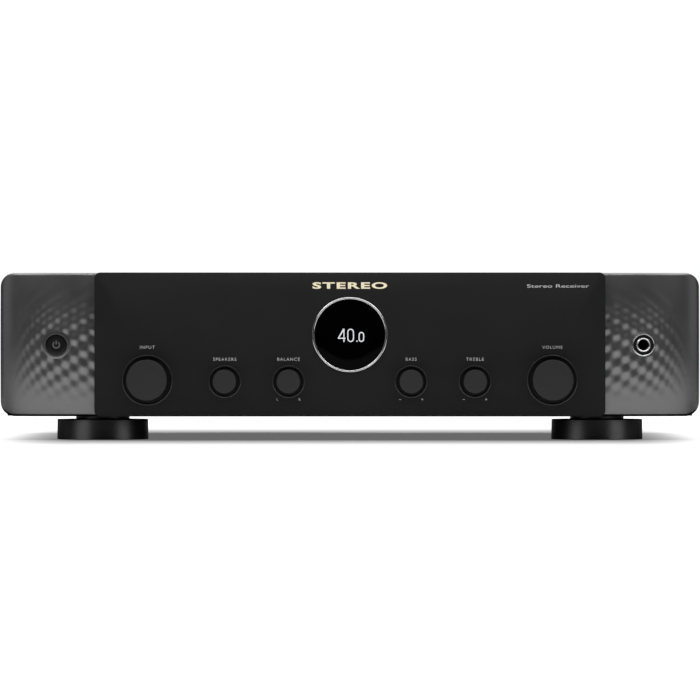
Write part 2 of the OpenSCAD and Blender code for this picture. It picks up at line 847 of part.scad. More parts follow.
// Clamping cap that turns on its post
module terminal_cap(c) {
    y = [rear_y + 3 + cap_gap, rear_y + post_reach];
    color(c[1] == post_x[0] || c[1] == post_x[2] ? terminal_red : black)
    difference() {
        union() {
            y_rod(cap_r, [y[0] + 3, y[1] - 0.6], c[1], c[2]);
            y_cone(cap_r, cap_r - 0.6, [y[1] - 0.6, y[1]], c[1], c[2]);
            y_rod(cap_r - 2, [y[0], y[0] + 3.1], c[1], c[2]);
            for (a = [0 : 45 : 315])
                translate([c[1], 0, c[2]]) rotate([0, a, 0])
                    slab([cap_r - 1, cap_r + 0.5], [y[0] + 4, y[1] - 2], [-1, 1]);
        }
        y_rod(post_r + run, [y[0] - 1, y[1] + 1], c[1], c[2]);
    }
}

// Sleeve on the aerial socket, with two ears and the pin that the rod tilts on
module aerial_swivel(side) {
    color(black)
    scale_side(side)
    difference() {
        union() {
            y_rod(5.5, [rear_y + 1, rear_y + 11], aerial_x, aerial_z);
            for (s = [-1, 1]) {
                low = s > 0 ? tongue_half + 0.15 : -tongue_half - 0.15 - ear_t;
                translate([aerial_x, 0, aerial_z + low]) {
                    slab([-aerial_r, aerial_r], [rear_y + 10.5, pivot_y], [0, ear_t]);
                    z_rod(aerial_r, [0, ear_t], 0, pivot_y);
                }
            }
            z_rod(1.5, [aerial_z - tongue_half - 1, aerial_z + tongue_half + 1], aerial_x,
                  pivot_y);
        }
        y_rod(3.1 + run, [rear_y, rear_y + 9], aerial_x, aerial_z);
    }
}

// Rod with a flat knuckle between the ears; it lies level, pointing to the middle
module aerial_rod(side) {
    color(black)
    scale_side(side)
    difference() {
        union() {
            z_rod(aerial_r, [aerial_z - tongue_half, aerial_z + tongue_half], aerial_x, pivot_y);
            slab([aerial_x - 10, aerial_x], [pivot_y - 3.2, pivot_y + 3.2],
                 [aerial_z - tongue_half, aerial_z + tongue_half]);
            translate([aerial_x - rod_l, pivot_y, aerial_z]) rotate([0, 90, 0])
                cylinder(r1 = aerial_r - 1, r2 = aerial_r, h = rod_l - 8);
        }
        z_rod(1.5 + run, [aerial_z - 5, aerial_z + 5], aerial_x, pivot_y);
    }
}

// ==== feet and screws ====

// Round foot: wide glossy disc, narrow neck, and a recess for its screw
module foot(p) {
    h = p[2];
    difference() {
        translate([p[0], p[1], 0]) {
            cylinder(r1 = foot_r - 0.8, r2 = foot_r, h = 0.8);
            z_rod(foot_r, [0.8, h - 0.6]);
            translate([0, 0, h - 0.6]) cylinder(r1 = foot_r, r2 = foot_r - 0.6, h = 0.6);
            z_rod(17, [h - 0.1, foot_gap]);
        }
        z_rod(6, [-1, h - 3], p[0], p[1]);
        z_rod(2.2, [0, foot_gap + 1], p[0], p[1]);
        difference() {
            z_rod(23, [-1, 1.2], p[0], p[1]);
            z_rod(12, [-2, 2], p[0], p[1]);
        }
    }
}

module feet(rows) {
    color(black)
    for (i = rows) foot(FEET[i]);
}

// Every screw that shows: cover sides, rear panel, inlet and feet
module case_screws() {
    color([0.08, 0.08, 0.08]) {
        for (y = side_screw_y, s = [-1, 1])
            scale_side(s)
            translate([cover_x, y, side_screw_z]) rotate([0, 90, 0])
                screw_shape();
        for (p = REAR_SCREWS)
            translate([p[0], rear_y + (p[1] == inlet[1] ? 2.4 : 0), p[1]]) rotate([-90, 0, 0])
                screw_shape();
        for (f = FEET)
            difference() {
                union() {
                    z_rod(4, [f[2] - 5.4, f[2] - 3], f[0], f[1]);
                    z_rod(2, [f[2] - 3.1, floor_z + 3], f[0], f[1]);
                }
                slab([f[0] - 0.6, f[0] + 0.6], [f[1] - 3, f[1] + 3], [f[2] - 6, f[2] - 4.4]);
            }
    }
}

// Pan head screw standing on its seat, shank downwards, with a crossed recess
module screw_shape() {
    difference() {
        union() {
            cylinder(r1 = screw_head_r, r2 = screw_head_r - 0.7, h = screw_head_h);
            translate([0, 0, -screw_l]) cylinder(r = screw_r, h = screw_l + 0.1);
        }
        for (a = [0, 90])
            rotate([0, 0, a])
                slab([-1.6, 1.6], [-0.35, 0.35], [screw_head_h - 0.9, screw_head_h + 1]);
    }
}

base_chassis();
rear_panel();
top_cover();
front_frame();
center_plate();
wing(-1);  // left_wing
wing(1);  // right_wing
display_bezel();
display_lens();
display_module();
front_board();
encoder_bodies();
power_bezel();
power_switch();
power_button();
headphone_jack();
headphone_bezel();
transformer_core();
transformer_coil();
heat_sink();
power_transistors();
amplifier_board();
power_board();
filter_capacitors();
digital_board();
wiring_looms();
hdmi_sockets();
data_sockets();
small_jacks();
rca_jacks();
mains_inlet();
terminal_base();
terminal_posts();
feet([0, 1]);  // front_feet
feet([2, 3]);  // rear_feet
case_screws();
for (k = KNOBS) {
    knob(k);
    knob_shaft(k);
}
for (c = CAPS)
    terminal_cap(c);
for (a = AERIALS) {
    aerial_swivel(a[1]);
    aerial_rod(a[1]);
}
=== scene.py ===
"""Looks of a slim stereo receiver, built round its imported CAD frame.

Units are metres. The front faces -Y, up is +Z, and the origin is on the floor under the
middle of the object. What the frame holds is read from it; every other size is a field of
the class that uses it.
"""

from __future__ import annotations

import logging
import math
from dataclasses import dataclass, field
from enum import Enum
from typing import Sequence

import bmesh
import bpy
from mathutils import Matrix, Vector

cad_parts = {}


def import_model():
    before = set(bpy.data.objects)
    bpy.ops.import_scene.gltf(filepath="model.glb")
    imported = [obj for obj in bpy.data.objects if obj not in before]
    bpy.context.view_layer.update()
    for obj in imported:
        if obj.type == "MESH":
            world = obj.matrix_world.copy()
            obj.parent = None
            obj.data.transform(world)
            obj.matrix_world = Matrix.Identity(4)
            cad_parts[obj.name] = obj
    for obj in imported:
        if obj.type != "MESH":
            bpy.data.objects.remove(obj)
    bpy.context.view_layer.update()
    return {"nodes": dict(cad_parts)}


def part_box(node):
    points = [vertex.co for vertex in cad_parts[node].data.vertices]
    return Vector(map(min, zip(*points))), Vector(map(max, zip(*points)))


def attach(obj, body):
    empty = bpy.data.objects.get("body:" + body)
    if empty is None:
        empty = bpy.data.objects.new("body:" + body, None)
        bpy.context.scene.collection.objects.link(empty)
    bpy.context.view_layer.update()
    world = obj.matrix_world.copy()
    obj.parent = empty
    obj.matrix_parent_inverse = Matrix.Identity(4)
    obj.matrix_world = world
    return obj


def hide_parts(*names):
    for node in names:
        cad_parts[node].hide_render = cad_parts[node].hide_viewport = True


LOG = logging.getLogger("receiver")
MM = 0.001
TAU = 2.0 * math.pi
QUARTER = math.pi / 2
RGB = tuple[float, float, float]
Profile = Sequence[tuple[float, float]]
Mesh = bmesh.types.BMesh


# ---- finishes -------------------------------------------------------------------------


class Grain(Enum):
    """Small relief that a finish can carry."""

    NONE = "none"
    FINE = "fine"
    SPUN = "spun"
    BRUSHED = "brushed"
    FIBRE = "fibre"


Socket = bpy.types.NodeSocket
Value = Socket | float | Sequence[float]


@dataclass(frozen=True)
class Graph:
    """A node tree, with short ways to fill it."""

    tree: bpy.types.NodeTree

    def feed(self, socket: Socket, value: Value) -> None:
        """Joins a socket to another one, or sets it to a plain value."""
        if isinstance(value, Socket):
            self.tree.links.new(value, socket)
        else:
            socket.default_value = value

    def add(self, kind: str, inputs: dict[str | int, Value] | None = None,
            **settings: str) -> bpy.types.Node:
        """Adds a node.

        Args:
            kind: the node's type, without its usual prefix.
            inputs: what goes into each input, by name or number.
            settings: the node's own attributes.

        Returns:
            The new node.
        """
        node = self.tree.nodes.new("ShaderNode" + kind)
        for name, value in settings.items():
            setattr(node, name, value)
        for name, value in (inputs or {}).items():
            self.feed(node.inputs[name], value)
        return node

    def noise(self, entry: str, place: Value, scale: float, detail: float,
              **settings: str) -> Socket:
        """Adds a noise texture whose named entry is fed with a place, and gives its value."""
        values = {entry: place, "Scale": scale, "Detail": detail}
        return self.add("TexNoise", values, **settings).outputs[0]

    def times(self, first: Value, second: Value) -> Socket:
        """Multiplies two values."""
        return self.add("Math", {0: first, 1: second}, operation="MULTIPLY").outputs["Value"]

    def outside(self, place: Value, half: tuple[float, float],
                stretch: float = 1.0) -> Socket:
        """Measures how far a place is outside a rectangle round the origin.

        Args:
            place: the socket that gives the place.
            half: half the rectangle's width and depth.
            stretch: how much the distance along X counts.

        Returns:
            The socket that gives the distance.
        """
        for operation, values in (("ABSOLUTE", {}), ("SUBTRACT", {1: (*half, 0)}),
                                  ("MAXIMUM", {1: (0, 0, 0)}),
                                  ("MULTIPLY", {1: (stretch, 1, 0)})):
            place = self.add("VectorMath", {0: place, **values},
                             operation=operation).outputs["Vector"]
        return self.add("VectorMath", {0: place}, operation="LENGTH").outputs["Value"]

    def fade(self, source: Value, span: tuple[float, float],
             values: tuple[float, float]) -> Socket:
        """Steps smoothly from one value to another while a source runs over a span."""
        named = zip(("Value", "From Min", "From Max", "To Min", "To Max"),
                    (source, *span, *values))
        return self.add("MapRange", dict(named),
                        interpolation_type="SMOOTHSTEP").outputs["Result"]


@dataclass(frozen=True)
class Finish:
    """A surface finish, from which a procedural material is made.

    Lengths are in metres. mottle and rough_spread say how far colour and roughness wander
    over patches of mottle_size.
    """

    name: str
    color: RGB
    rough: float = 0.5
    metallic: float = 0.0
    specular: float = 0.5
    coat: float = 0.0
    mottle: float = 0.12
    mottle_size: float = 0.02
    rough_spread: float = 0.05
    grain: Grain = Grain.FINE
    grain_size: float = 0.0005
    grain_depth: float = 0.00001
    glow: float = 0.0

    def material(self, centre: Vector | None = None, suffix: str = "") -> bpy.types.Material:
        """Makes the material.

        Args:
            centre: the point that a turned grain runs round; the origin if not given.
            suffix: added to the material's name where one finish is made for many pieces.

        Returns:
            The new material.
        """
        mat = bpy.data.materials.new(self.name + suffix)
        mat.use_nodes = True
        graph = Graph(mat.node_tree)
        place = graph.add("TexCoord").outputs["Object"]
        place = graph.add("Mapping", {"Vector": place, "Location": -(centre or Vector())})
        place = place.outputs["Vector"]
        cloud = graph.noise("Vector", place, 1.0 / self.mottle_size, 4.0)
        ramp = graph.add("ValToRGB", {"Fac": cloud})
        for end, at, change in zip(ramp.color_ramp.elements, (0.3, 0.7),
                                   (-self.mottle, self.mottle)):
            end.color = (*[min(1.0, c * (1.0 + change)) for c in self.color], 1.0)
            end.position = at
        spread = graph.add("MapRange", {
            "Value": cloud, "To Min": max(0.02, self.rough - self.rough_spread),
            "To Max": min(1.0, self.rough + self.rough_spread)})
        values = {"Metallic": self.metallic, "Specular IOR Level": self.specular,
                  "Coat Weight": self.coat, "Coat Roughness": 0.08,
                  "Base Color": ramp.outputs["Color"], "Roughness": spread.outputs["Result"]}
        if self.glow > 0.0:
            values |= {"Emission Color": (*self.color, 1.0), "Emission Strength": self.glow}
        if self.grain is not Grain.NONE:
            values["Normal"] = self._relief(graph, place)
        for name, value in values.items():
            graph.feed(mat.node_tree.nodes["Principled BSDF"].inputs[name], value)
        return mat

    def _relief(self, graph: Graph, place: Value) -> Socket:
        """Adds the bump for this finish's grain.

        Args:
            graph: the material's graph.
            place: the socket that gives the piece's own place.

        Returns:
            The socket that gives the bumped normal.
        """
        scale = 1.0 / self.grain_size
        if self.grain is Grain.SPUN:
            flat = graph.add("VectorMath", {0: place, 1: (1.0, 0.0, 1.0)},
                             operation="MULTIPLY").outputs["Vector"]
            radius = graph.add("VectorMath", {0: flat}, operation="LENGTH").outputs["Value"]
            grain = graph.noise("W", radius, scale, 3.0, noise_dimensions="1D")
        else:
            stretch = {Grain.BRUSHED: (0.02, 1.0, 1.0), Grain.FIBRE: (1.0, 0.15, 1.0)}
            drawn = graph.add("Mapping", {
                "Vector": place, "Scale": stretch.get(self.grain, (1.0, 1.0, 1.0))})
            grain = graph.noise("Vector", drawn.outputs["Vector"], scale, 3.0)
        return graph.add("Bump", {"Strength": 1.0, "Distance": self.grain_depth,
                                  "Height": grain}).outputs["Normal"]


PLATE = Finish("plate_black", (0.013, 0.013, 0.0135), 0.55, specular=0.25, mottle=0.05)
WING = Finish("wing_black", (0.27, 0.27, 0.275), 0.36, metallic=1.0, mottle=0.03,
              grain_size=0.0004, grain_depth=0.000004)
KNOB_SIDE = Finish("knob_black", (0.008, 0.008, 0.008), 0.42, specular=0.3, mottle=0.08,
                   grain=Grain.BRUSHED, grain_size=0.0003, grain_depth=0.000006)
KNOB_FACE = Finish("knob_face", (0.033, 0.033, 0.0335), 0.5, specular=0.3, mottle=0.03,
                   grain=Grain.SPUN, grain_size=0.0002, grain_depth=0.000004)
CHROME = Finish("polished_ring", (0.8, 0.8, 0.81), 0.16, metallic=1.0, mottle=0.03,
                rough_spread=0.03, grain=Grain.SPUN, grain_size=0.0002, grain_depth=0.000001)
WINDOW = Finish("window", (0.0006, 0.0006, 0.0008), 0.08, specular=0.04, mottle=0.1,
                rough_spread=0.02, grain=Grain.NONE)
DIGITS = Finish("digits", (0.8, 0.82, 0.84), 0.5, glow=0.3, mottle=0.02, grain=Grain.NONE)
PRINT = Finish("print_grey", (0.75, 0.75, 0.75), 0.6, mottle=0.05, grain=Grain.NONE)
DIM_PRINT = Finish("print_dim", (0.2, 0.2, 0.2), 0.6, mottle=0.05, grain=Grain.NONE)
# Gold print; its glow is painted light, a painted sheen that makes the ink brighter than the
# lamps make it.
GOLD_PRINT_PAINTED_GLOW = Finish("print_gold", (0.84, 0.74, 0.54), 0.4, mottle=0.06, glow=0.3,
                    grain=Grain.NONE)
RING = Finish("control_ring", (0.27, 0.27, 0.275), 0.3, metallic=1.0, mottle=0.03,
              grain=Grain.SPUN, grain_size=0.0002, grain_depth=0.000001)
BEAD = Finish("well_bead", (0.034, 0.034, 0.034), 0.26, specular=0.6, mottle=0.05,
              grain=Grain.NONE)
BUTTON = Finish("button_black", (0.006, 0.006, 0.006), 0.3, mottle=0.08,
                grain=Grain.SPUN, grain_size=0.0003, grain_depth=0.000002)
NICKEL = Finish("bright_metal", (0.85, 0.85, 0.86), 0.24, metallic=1.0, mottle=0.05,
                grain=Grain.SPUN, grain_size=0.0003, grain_depth=0.000002)
# Near black that stands in for the shade inside the headphone socket: painted shade on the
# socket's bore and on the recess round it.
HOLE_SHADE = Finish("dark_hole", (0.003, 0.003, 0.003), 0.8, mottle=0.1, grain=Grain.NONE)
FOOT = Finish("foot_gloss", (0.003, 0.003, 0.003), 0.36, specular=0.35, mottle=0.08,
              grain_depth=0.000001)
PAINT = Finish("cover_black", (0.02, 0.02, 0.021), 0.55, specular=0.4, mottle=0.08,
               grain_size=0.0007, grain_depth=0.00003)
PANEL = Finish("panel_black", (0.016, 0.016, 0.017), 0.6, specular=0.35, mottle=0.08,
               grain_size=0.0006, grain_depth=0.00002)
MOULDING = Finish("moulding_black", (0.018, 0.018, 0.018), 0.6, mottle=0.1)
ZINC = Finish("zinc_steel", (0.56, 0.57, 0.6), 0.38, metallic=1.0, mottle=0.12,
              mottle_size=0.008, rough_spread=0.1, grain=Grain.BRUSHED)
BOARD = Finish("board", (0.012, 0.07, 0.03), 0.4, specular=0.5, mottle=0.3,
               mottle_size=0.004, grain_size=0.001, grain_depth=0.00002)
CORE = Finish("core_steel", (0.16, 0.16, 0.17), 0.5, metallic=0.8, mottle=0.2,
              grain=Grain.FIBRE, grain_size=0.001, grain_depth=0.0001)
COIL = Finish("coil_tape", (0.55, 0.3, 0.05), 0.4, mottle=0.15, mottle_size=0.01)
SINK = Finish("heat_sink", (0.03, 0.03, 0.032), 0.45, metallic=0.7, grain=Grain.BRUSHED)
SLEEVE = Finish("capacitor_sleeve", (0.01, 0.015, 0.05), 0.3, coat=0.3, mottle=0.1)
CABLE = Finish("flat_cable", (0.6, 0.6, 0.62), 0.5, mottle=0.08, grain=Grain.BRUSHED)
GILT = Finish("gold", (0.78, 0.56, 0.24), 0.22, metallic=1.0, mottle=0.06, mottle_size=0.004,
              grain_size=0.0004, grain_depth=0.000003)
INLET = Finish("inlet_black", (0.012, 0.012, 0.012), 0.5, mottle=0.1)
SCREW = Finish("screw_black", (0.03, 0.03, 0.03), 0.35, metallic=0.7, mottle=0.15,
               mottle_size=0.003)
RED_CAP = Finish("terminal_red", (0.42, 0.012, 0.01), 0.28, coat=0.3, mottle=0.08,
                 mottle_size=0.006, grain_depth=0.000003)
BLACK_CAP = Finish("terminal_black", (0.012, 0.012, 0.012), 0.28, coat=0.3, mottle=0.1,
                   mottle_size=0.006, grain_depth=0.000003)
AERIAL = Finish("aerial_black", (0.014, 0.014, 0.014), 0.48, mottle=0.1,
                grain_size=0.0005, grain_depth=0.000008)

CAD_FINISHES: dict[str, Finish] = {
    "base_chassis": ZINC, "rear_panel": PANEL, "top_cover": PAINT, "front_frame": MOULDING,
    "display_module": MOULDING, "front_board": BOARD, "encoder_bodies": ZINC,
    "power_switch": BOARD, "transformer_core": CORE, "transformer_coil": COIL,
    "heat_sink": SINK, "power_transistors": MOULDING, "amplifier_board": BOARD,
    "power_board": BOARD, "filter_capacitors": SLEEVE, "digital_board": BOARD,
    "wiring_looms": CABLE, "hdmi_sockets": ZINC, "data_sockets": ZINC, "small_jacks": GILT,
    "rca_jacks": GILT, "mains_inlet": INLET, "terminal_base": MOULDING,
    "terminal_posts": GILT, "case_screws": SCREW, "headphone_jack": HOLE_SHADE,
}


# ---- mesh helpers ---------------------------------------------------------------------


class Axis(Enum):
    """The line that a turned piece is made round."""

    Y = "y"
    Z = "z"


def front_of(node: str) -> tuple[Vector, float]:
    """The middle of a CAD node's front, and the node's depth."""
    low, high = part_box(node)
    return Vector(((low.x + high.x) / 2, low.y, (low.z + high.z) / 2)), high.y - low.y


def turned(bm: Mesh, profile: Profile, centre: Vector, axis: Axis = Axis.Y,
           steps: int = 128, closed: bool = False) -> None:
    """Spins a profile all the way round.

    Args:
        bm: the mesh to add to.
        profile: points as (radius, distance along the axis from the centre).
        centre: a point on the axis.
        axis: the direction of the axis.
        steps: the number of segments round the circle.
        closed: joins the profile's last point to its first.
    """
    along = Vector((0, 1, 0)) if axis is Axis.Y else Vector((0, 0, 1))
    verts = [bm.verts.new(centre + Vector((r, 0, 0)) + along * h) for r, h in profile]
    pairs = list(zip(verts, verts[1:]))
    if closed:
        pairs.append((verts[-1], verts[0]))
    edges = [bm.edges.new(pair) for pair in pairs]
    bmesh.ops.spin(bm, geom=verts + edges, cent=centre, axis=along, dvec=(0, 0, 0),
                   angle=TAU, steps=steps, use_merge=True, use_duplicate=False)
    bmesh.ops.remove_doubles(bm, verts=bm.verts[:], dist=1e-6)


def block(bm: Mesh, low: Sequence[float], high: Sequence[float]) -> list:
    """Adds a box given by its lowest and highest corners.

    Returns:
        The box's vertices.
    """
    low_v, high_v = Vector(low), Vector(high)
    size = high_v - low_v
    made = bmesh.ops.create_cube(bm, size=1.0)["verts"]
    bmesh.ops.scale(bm, vec=size, verts=made)
    bmesh.ops.translate(bm, vec=(low_v + high_v) / 2, verts=made)
    return made


def round_rect(width: float, height: float, radius: float, steps: int = 8) -> list[Vector]:
    """Corners of a rounded rectangle round the origin in XZ, counterclockwise seen from -Y."""
    points: list[Vector] = []
    for turn in range(4):
        sx, sz = ((1, 1), (-1, 1), (-1, -1), (1, -1))[turn]
        for i in range(steps + 1):
            a = TAU / 4 * (turn + i / steps)
            points.append(Vector((sx * (width / 2 - radius) + radius * math.cos(a), 0,
                                  sz * (height / 2 - radius) + radius * math.sin(a))))
    return points


def circle(radius: float, steps: int = 64) -> list[Vector]:
    """Points of a circle round the origin in XZ."""
    return [Vector((radius * math.cos(TAU * i / steps), 0, radius * math.sin(TAU * i / steps)))
            for i in range(steps)]


def loop(bm: Mesh, points: Sequence[Vector], offset: Vector) -> list:
    """Adds a closed loop of edges.

    Returns:
        The loop's edges.
    """
    verts = [bm.verts.new(p + offset) for p in points]
    return [bm.edges.new((a, b)) for a, b in zip(verts, verts[1:] + verts[:1])]


def extrude(bm: Mesh, edges: Sequence) -> tuple[list, list]:
    """Extrudes edges in place.

    Returns:
        The new vertices, and the new edges that join them.
    """
    made = bmesh.ops.extrude_edge_only(bm, edges=edges)["geom"]
    verts = [g for g in made if isinstance(g, bmesh.types.BMVert)]
    fresh = set(verts)
    return verts, [g for g in made if isinstance(g, bmesh.types.BMEdge)
                   and g.verts[0] in fresh and g.verts[1] in fresh]


def pull(bm: Mesh, edges: Sequence, about: Vector, grow: float, dy: float,
         grow_z: float | None = None) -> list:
    """Extrudes a loop along Y, and scales it about a point in XZ.

    Args:
        bm: the mesh.
        edges: the loop's edges.
        about: the point that stays where it is.
        grow: the scale along X, and along Z where grow_z isn't given.
        dy: the distance along Y.
        grow_z: the scale along Z.

    Returns:
        The new loop's edges.
    """
    verts, fresh = extrude(bm, edges)
    for v in verts:
        v.co.x = about.x + (v.co.x - about.x) * grow
        v.co.z = about.z + (v.co.z - about.z) * (grow if grow_z is None else grow_z)
        v.co.y += dy
    return fresh


def fill(bm: Mesh, edges: Sequence, towards: int = -1) -> None:
    """Fills flat loops facing along Y; loops inside them stay open."""
    bmesh.ops.triangle_fill(bm, use_beauty=True, edges=edges, normal=Vector((0, towards, 0)))


def piece(name: str, bm: Mesh, material: bpy.types.Material,
          replaced: Sequence[str] = (), body: str = "cabinet",
          smooth: float = math.radians(32), orient: bool = True) -> bpy.types.Object:
    """Turns a mesh into an object that rides on a body.

    Args:
        name: the piece's name.
        bm: the mesh, which is freed.
        material: the piece's material.
        replaced: CAD nodes that it stands for.
        body: the CAD body that it moves with.
        smooth: edges sharper than this stay sharp.
        orient: points every face outwards first.

    Returns:
        The new object.
    """
    if orient:
        bmesh.ops.recalc_face_normals(bm, faces=bm.faces[:])
    mesh = bpy.data.meshes.new(name)
    bm.to_mesh(mesh)
    bm.free()
    mesh.polygons.foreach_set("use_smooth", [True] * len(mesh.polygons))
    mesh.set_sharp_from_angle(angle=smooth)
    mesh.materials.append(material)
    obj = bpy.data.objects.new(name, mesh)
    bpy.context.scene.collection.objects.link(obj)
    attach(obj, body)
    if replaced:
        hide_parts(*replaced)
    LOG.info("%s: %d faces on %s", name, len(mesh.polygons), body)
    return obj


class Facing(Enum):
    """The side that lettering is read from."""

    FRONT = "front"
    REAR = "rear"


def lettering(name: str, words: str, height: float, place: Vector, facing: Facing,
              finish: Finish, thin: float = 0.0, spacing: float = 1.0,
              width: float | None = None) -> bpy.types.Object:
    """Prints generic words, centred on a place.

    Args:
        name: the piece's name.
        words: the text.
        height: the height of a capital.
        place: the middle of the words, on the surface.
        facing: the side that they are read from.
        finish: the ink.
        thin: how much thinner the strokes are, as a share of the letter size.
        spacing: the distance between letters, 1 being normal.
        width: the whole width, where it has to be exact.

    Returns:
        The lettering as a thin mesh.
    """
    curve = bpy.data.curves.new(name, "FONT")
    curve.body = words
    curve.offset = -thin
    curve.space_character = spacing
    curve.extrude = 0.01
    curve.resolution_u = 4
    source = bpy.data.objects.new(name + "_source", curve)
    bpy.context.scene.collection.objects.link(source)
    graph = bpy.context.evaluated_depsgraph_get()
    mesh = bpy.data.meshes.new_from_object(source.evaluated_get(graph))
    bpy.data.objects.remove(source)
    bm = bmesh.new()
    bm.from_mesh(mesh)
    bpy.data.meshes.remove(mesh)
    low = Vector([min(v.co[i] for v in bm.verts) for i in range(3)])
    high = Vector([max(v.co[i] for v in bm.verts) for i in range(3)])
    scale = height / (high.y - low.y)
    stretch = scale if width is None else width / (high.x - low.x)
    middle = (low + high) / 2
    turn = Matrix.Rotation(QUARTER, 4, "X")
    if facing is Facing.REAR:
        turn = Matrix.Rotation(math.pi, 4, "Z") @ turn
    sizes = Matrix.Diagonal((stretch, scale, scale * 0.5, 1.0))
    bm.transform(Matrix.Translation(place) @ turn @ sizes @ Matrix.Translation(-middle))
    return piece(name, bm, finish.material(suffix="_" + name), orient=False)


# ---- sub-assemblies -------------------------------------------------------------------


@dataclass
class FrontPlate:
    """The proud centre plate, with its wells, its window opening and its printing."""

    corner: float = 4 * MM
    edge: float = 0.3 * MM
    well_lip: float = 0.7 * MM
    well_depth: float = 2.5 * MM
    bead: float = 0.42 * MM
    large_well: float = 15.1 * MM
    small_well: float = 9.4 * MM
    bushing_hole: float = 4.6 * MM
    window_hole: float = 23.2 * MM
    large_label: float = 20.7 * MM
    small_label: float = 14.1 * MM
    label_height: float = 1.95 * MM
    mark_height: float = 1.5 * MM
    mark_width: float = 1.3 * MM
    minus_height: float = 0.3 * MM
    mark_place: tuple[float, float] = (7.0 * MM, -11.2 * MM)
    heading_place: tuple[float, float] = (0.0, 97.3 * MM)
    heading_size: tuple[float, float] = (47 * MM, 4.2 * MM)
    note_place: tuple[float, float] = (130.8 * MM, 97.0 * MM)
    note_size: tuple[float, float] = (39 * MM, 2.1 * MM)

    def build(self, knobs: Sequence["Knob"]) -> None:
        """Makes the plate round the knobs' axes."""
        low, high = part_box("center_plate")
        bezel, _ = front_of("display_bezel")
        middle = (low + high) / 2
        front, back = low.y, high.y
        width, height = high.x - low.x, high.z - low.z
        bm = bmesh.new()
        inset = self.edge
        rim = loop(bm, round_rect(width - 2 * inset, height - 2 * inset, self.corner - inset),
                   Vector((middle.x, front, middle.z)))
        grow_x, grow_z = width / (width - 2 * inset), height / (height - 2 * inset)
        face_loops = list(rim)
        back_loops = []
        window = Vector((0, front, bezel.z))
        hole = loop(bm, circle(self.window_hole, 96), window)
        face_loops += hole
        back_loops += pull(bm, hole, window, 1.0, back - front)
        for knob in knobs:
            radius = self.large_well if knob.large else self.small_well
            lip = loop(bm, circle(radius + self.well_lip), knob.centre(front))
            face_loops += lip
            wall = pull(bm, lip, knob.centre(front), radius / (radius + self.well_lip),
                        self.well_lip)
            floor = pull(bm, wall, knob.centre(front), 1.0, self.well_depth - self.well_lip)
            hub = pull(bm, floor, knob.centre(front), self.bushing_hole / radius, 0.0)
            back_loops += pull(bm, hub, knob.centre(front), 1.0,
                               back - front - self.well_depth)
        fill(bm, face_loops)
        side = pull(bm, rim, middle, grow_x, inset * 0.5, grow_z)
        back_loops += pull(bm, side, middle, 1.0, back - front - inset * 0.5)
        fill(bm, back_loops, 1)
        piece("front_plate", bm, PLATE.material(), ["center_plate"])
        self._beads(front, knobs)
        self._print(front, knobs)

    def _beads(self, front: float, knobs: Sequence["Knob"]) -> None:
        """Adds the thin proud bead round each well."""
        bm = bmesh.new()
        foot, top, shoulder = self.well_lip + 0.5 * MM, -self.bead, -0.7 * self.bead
        for knob in knobs:
            radius = self.large_well if knob.large else self.small_well
            turned(bm, [(radius, foot), (radius, 0.1 * MM), (radius + 0.1 * MM, shoulder),
                        (radius + 0.3 * MM, top), (radius + 0.55 * MM, top),
                        (radius + 0.8 * MM, shoulder), (radius + 0.9 * MM, 0.1 * MM),
                        (radius + 0.9 * MM, foot)], knob.centre(front), closed=True)
        piece("well_beads", bm, BEAD.material())

    def _print(self, front: float, knobs: Sequence["Knob"]) -> None:
        """Prints each control's plain name, the end marks and the two plain headings."""
        for knob in knobs:
            lift = self.large_label if knob.large else self.small_label
            lettering(f"label_{knob.name}", knob.name.upper(), self.label_height,
                      knob.centre(front) + Vector((0, 0, lift)), Facing.FRONT, PRINT,
                      thin=0.004, spacing=1.25)
            across, down = self.mark_place
            for mark, side in zip(knob.marks, (-1, 1)):
                shape = {"-": "minus", "+": "plus"}.get(mark, mark)
                lettering(f"mark_{knob.name}_{shape}", mark,
                          self.minus_height if mark == "-" else self.mark_height,
                          knob.centre(front) + Vector((side * across, 0, down)),
                          Facing.FRONT, PRINT,
                          width=self.mark_width if mark in "+-" else None)
        (x, z), (width, height) = self.heading_place, self.heading_size
        # The gold heading carries a painted glow on top of its ink colour.
        lettering("heading_centre", "STEREO", height, Vector((x, front, z)), Facing.FRONT,
                  GOLD_PRINT_PAINTED_GLOW, thin=-0.035, spacing=1.15, width=width)
        (x, z), (width, height) = self.note_place, self.note_size
        lettering("heading_right", "Stereo Receiver", height, Vector((x, front, z)),
                  Facing.FRONT, PRINT, width=width)


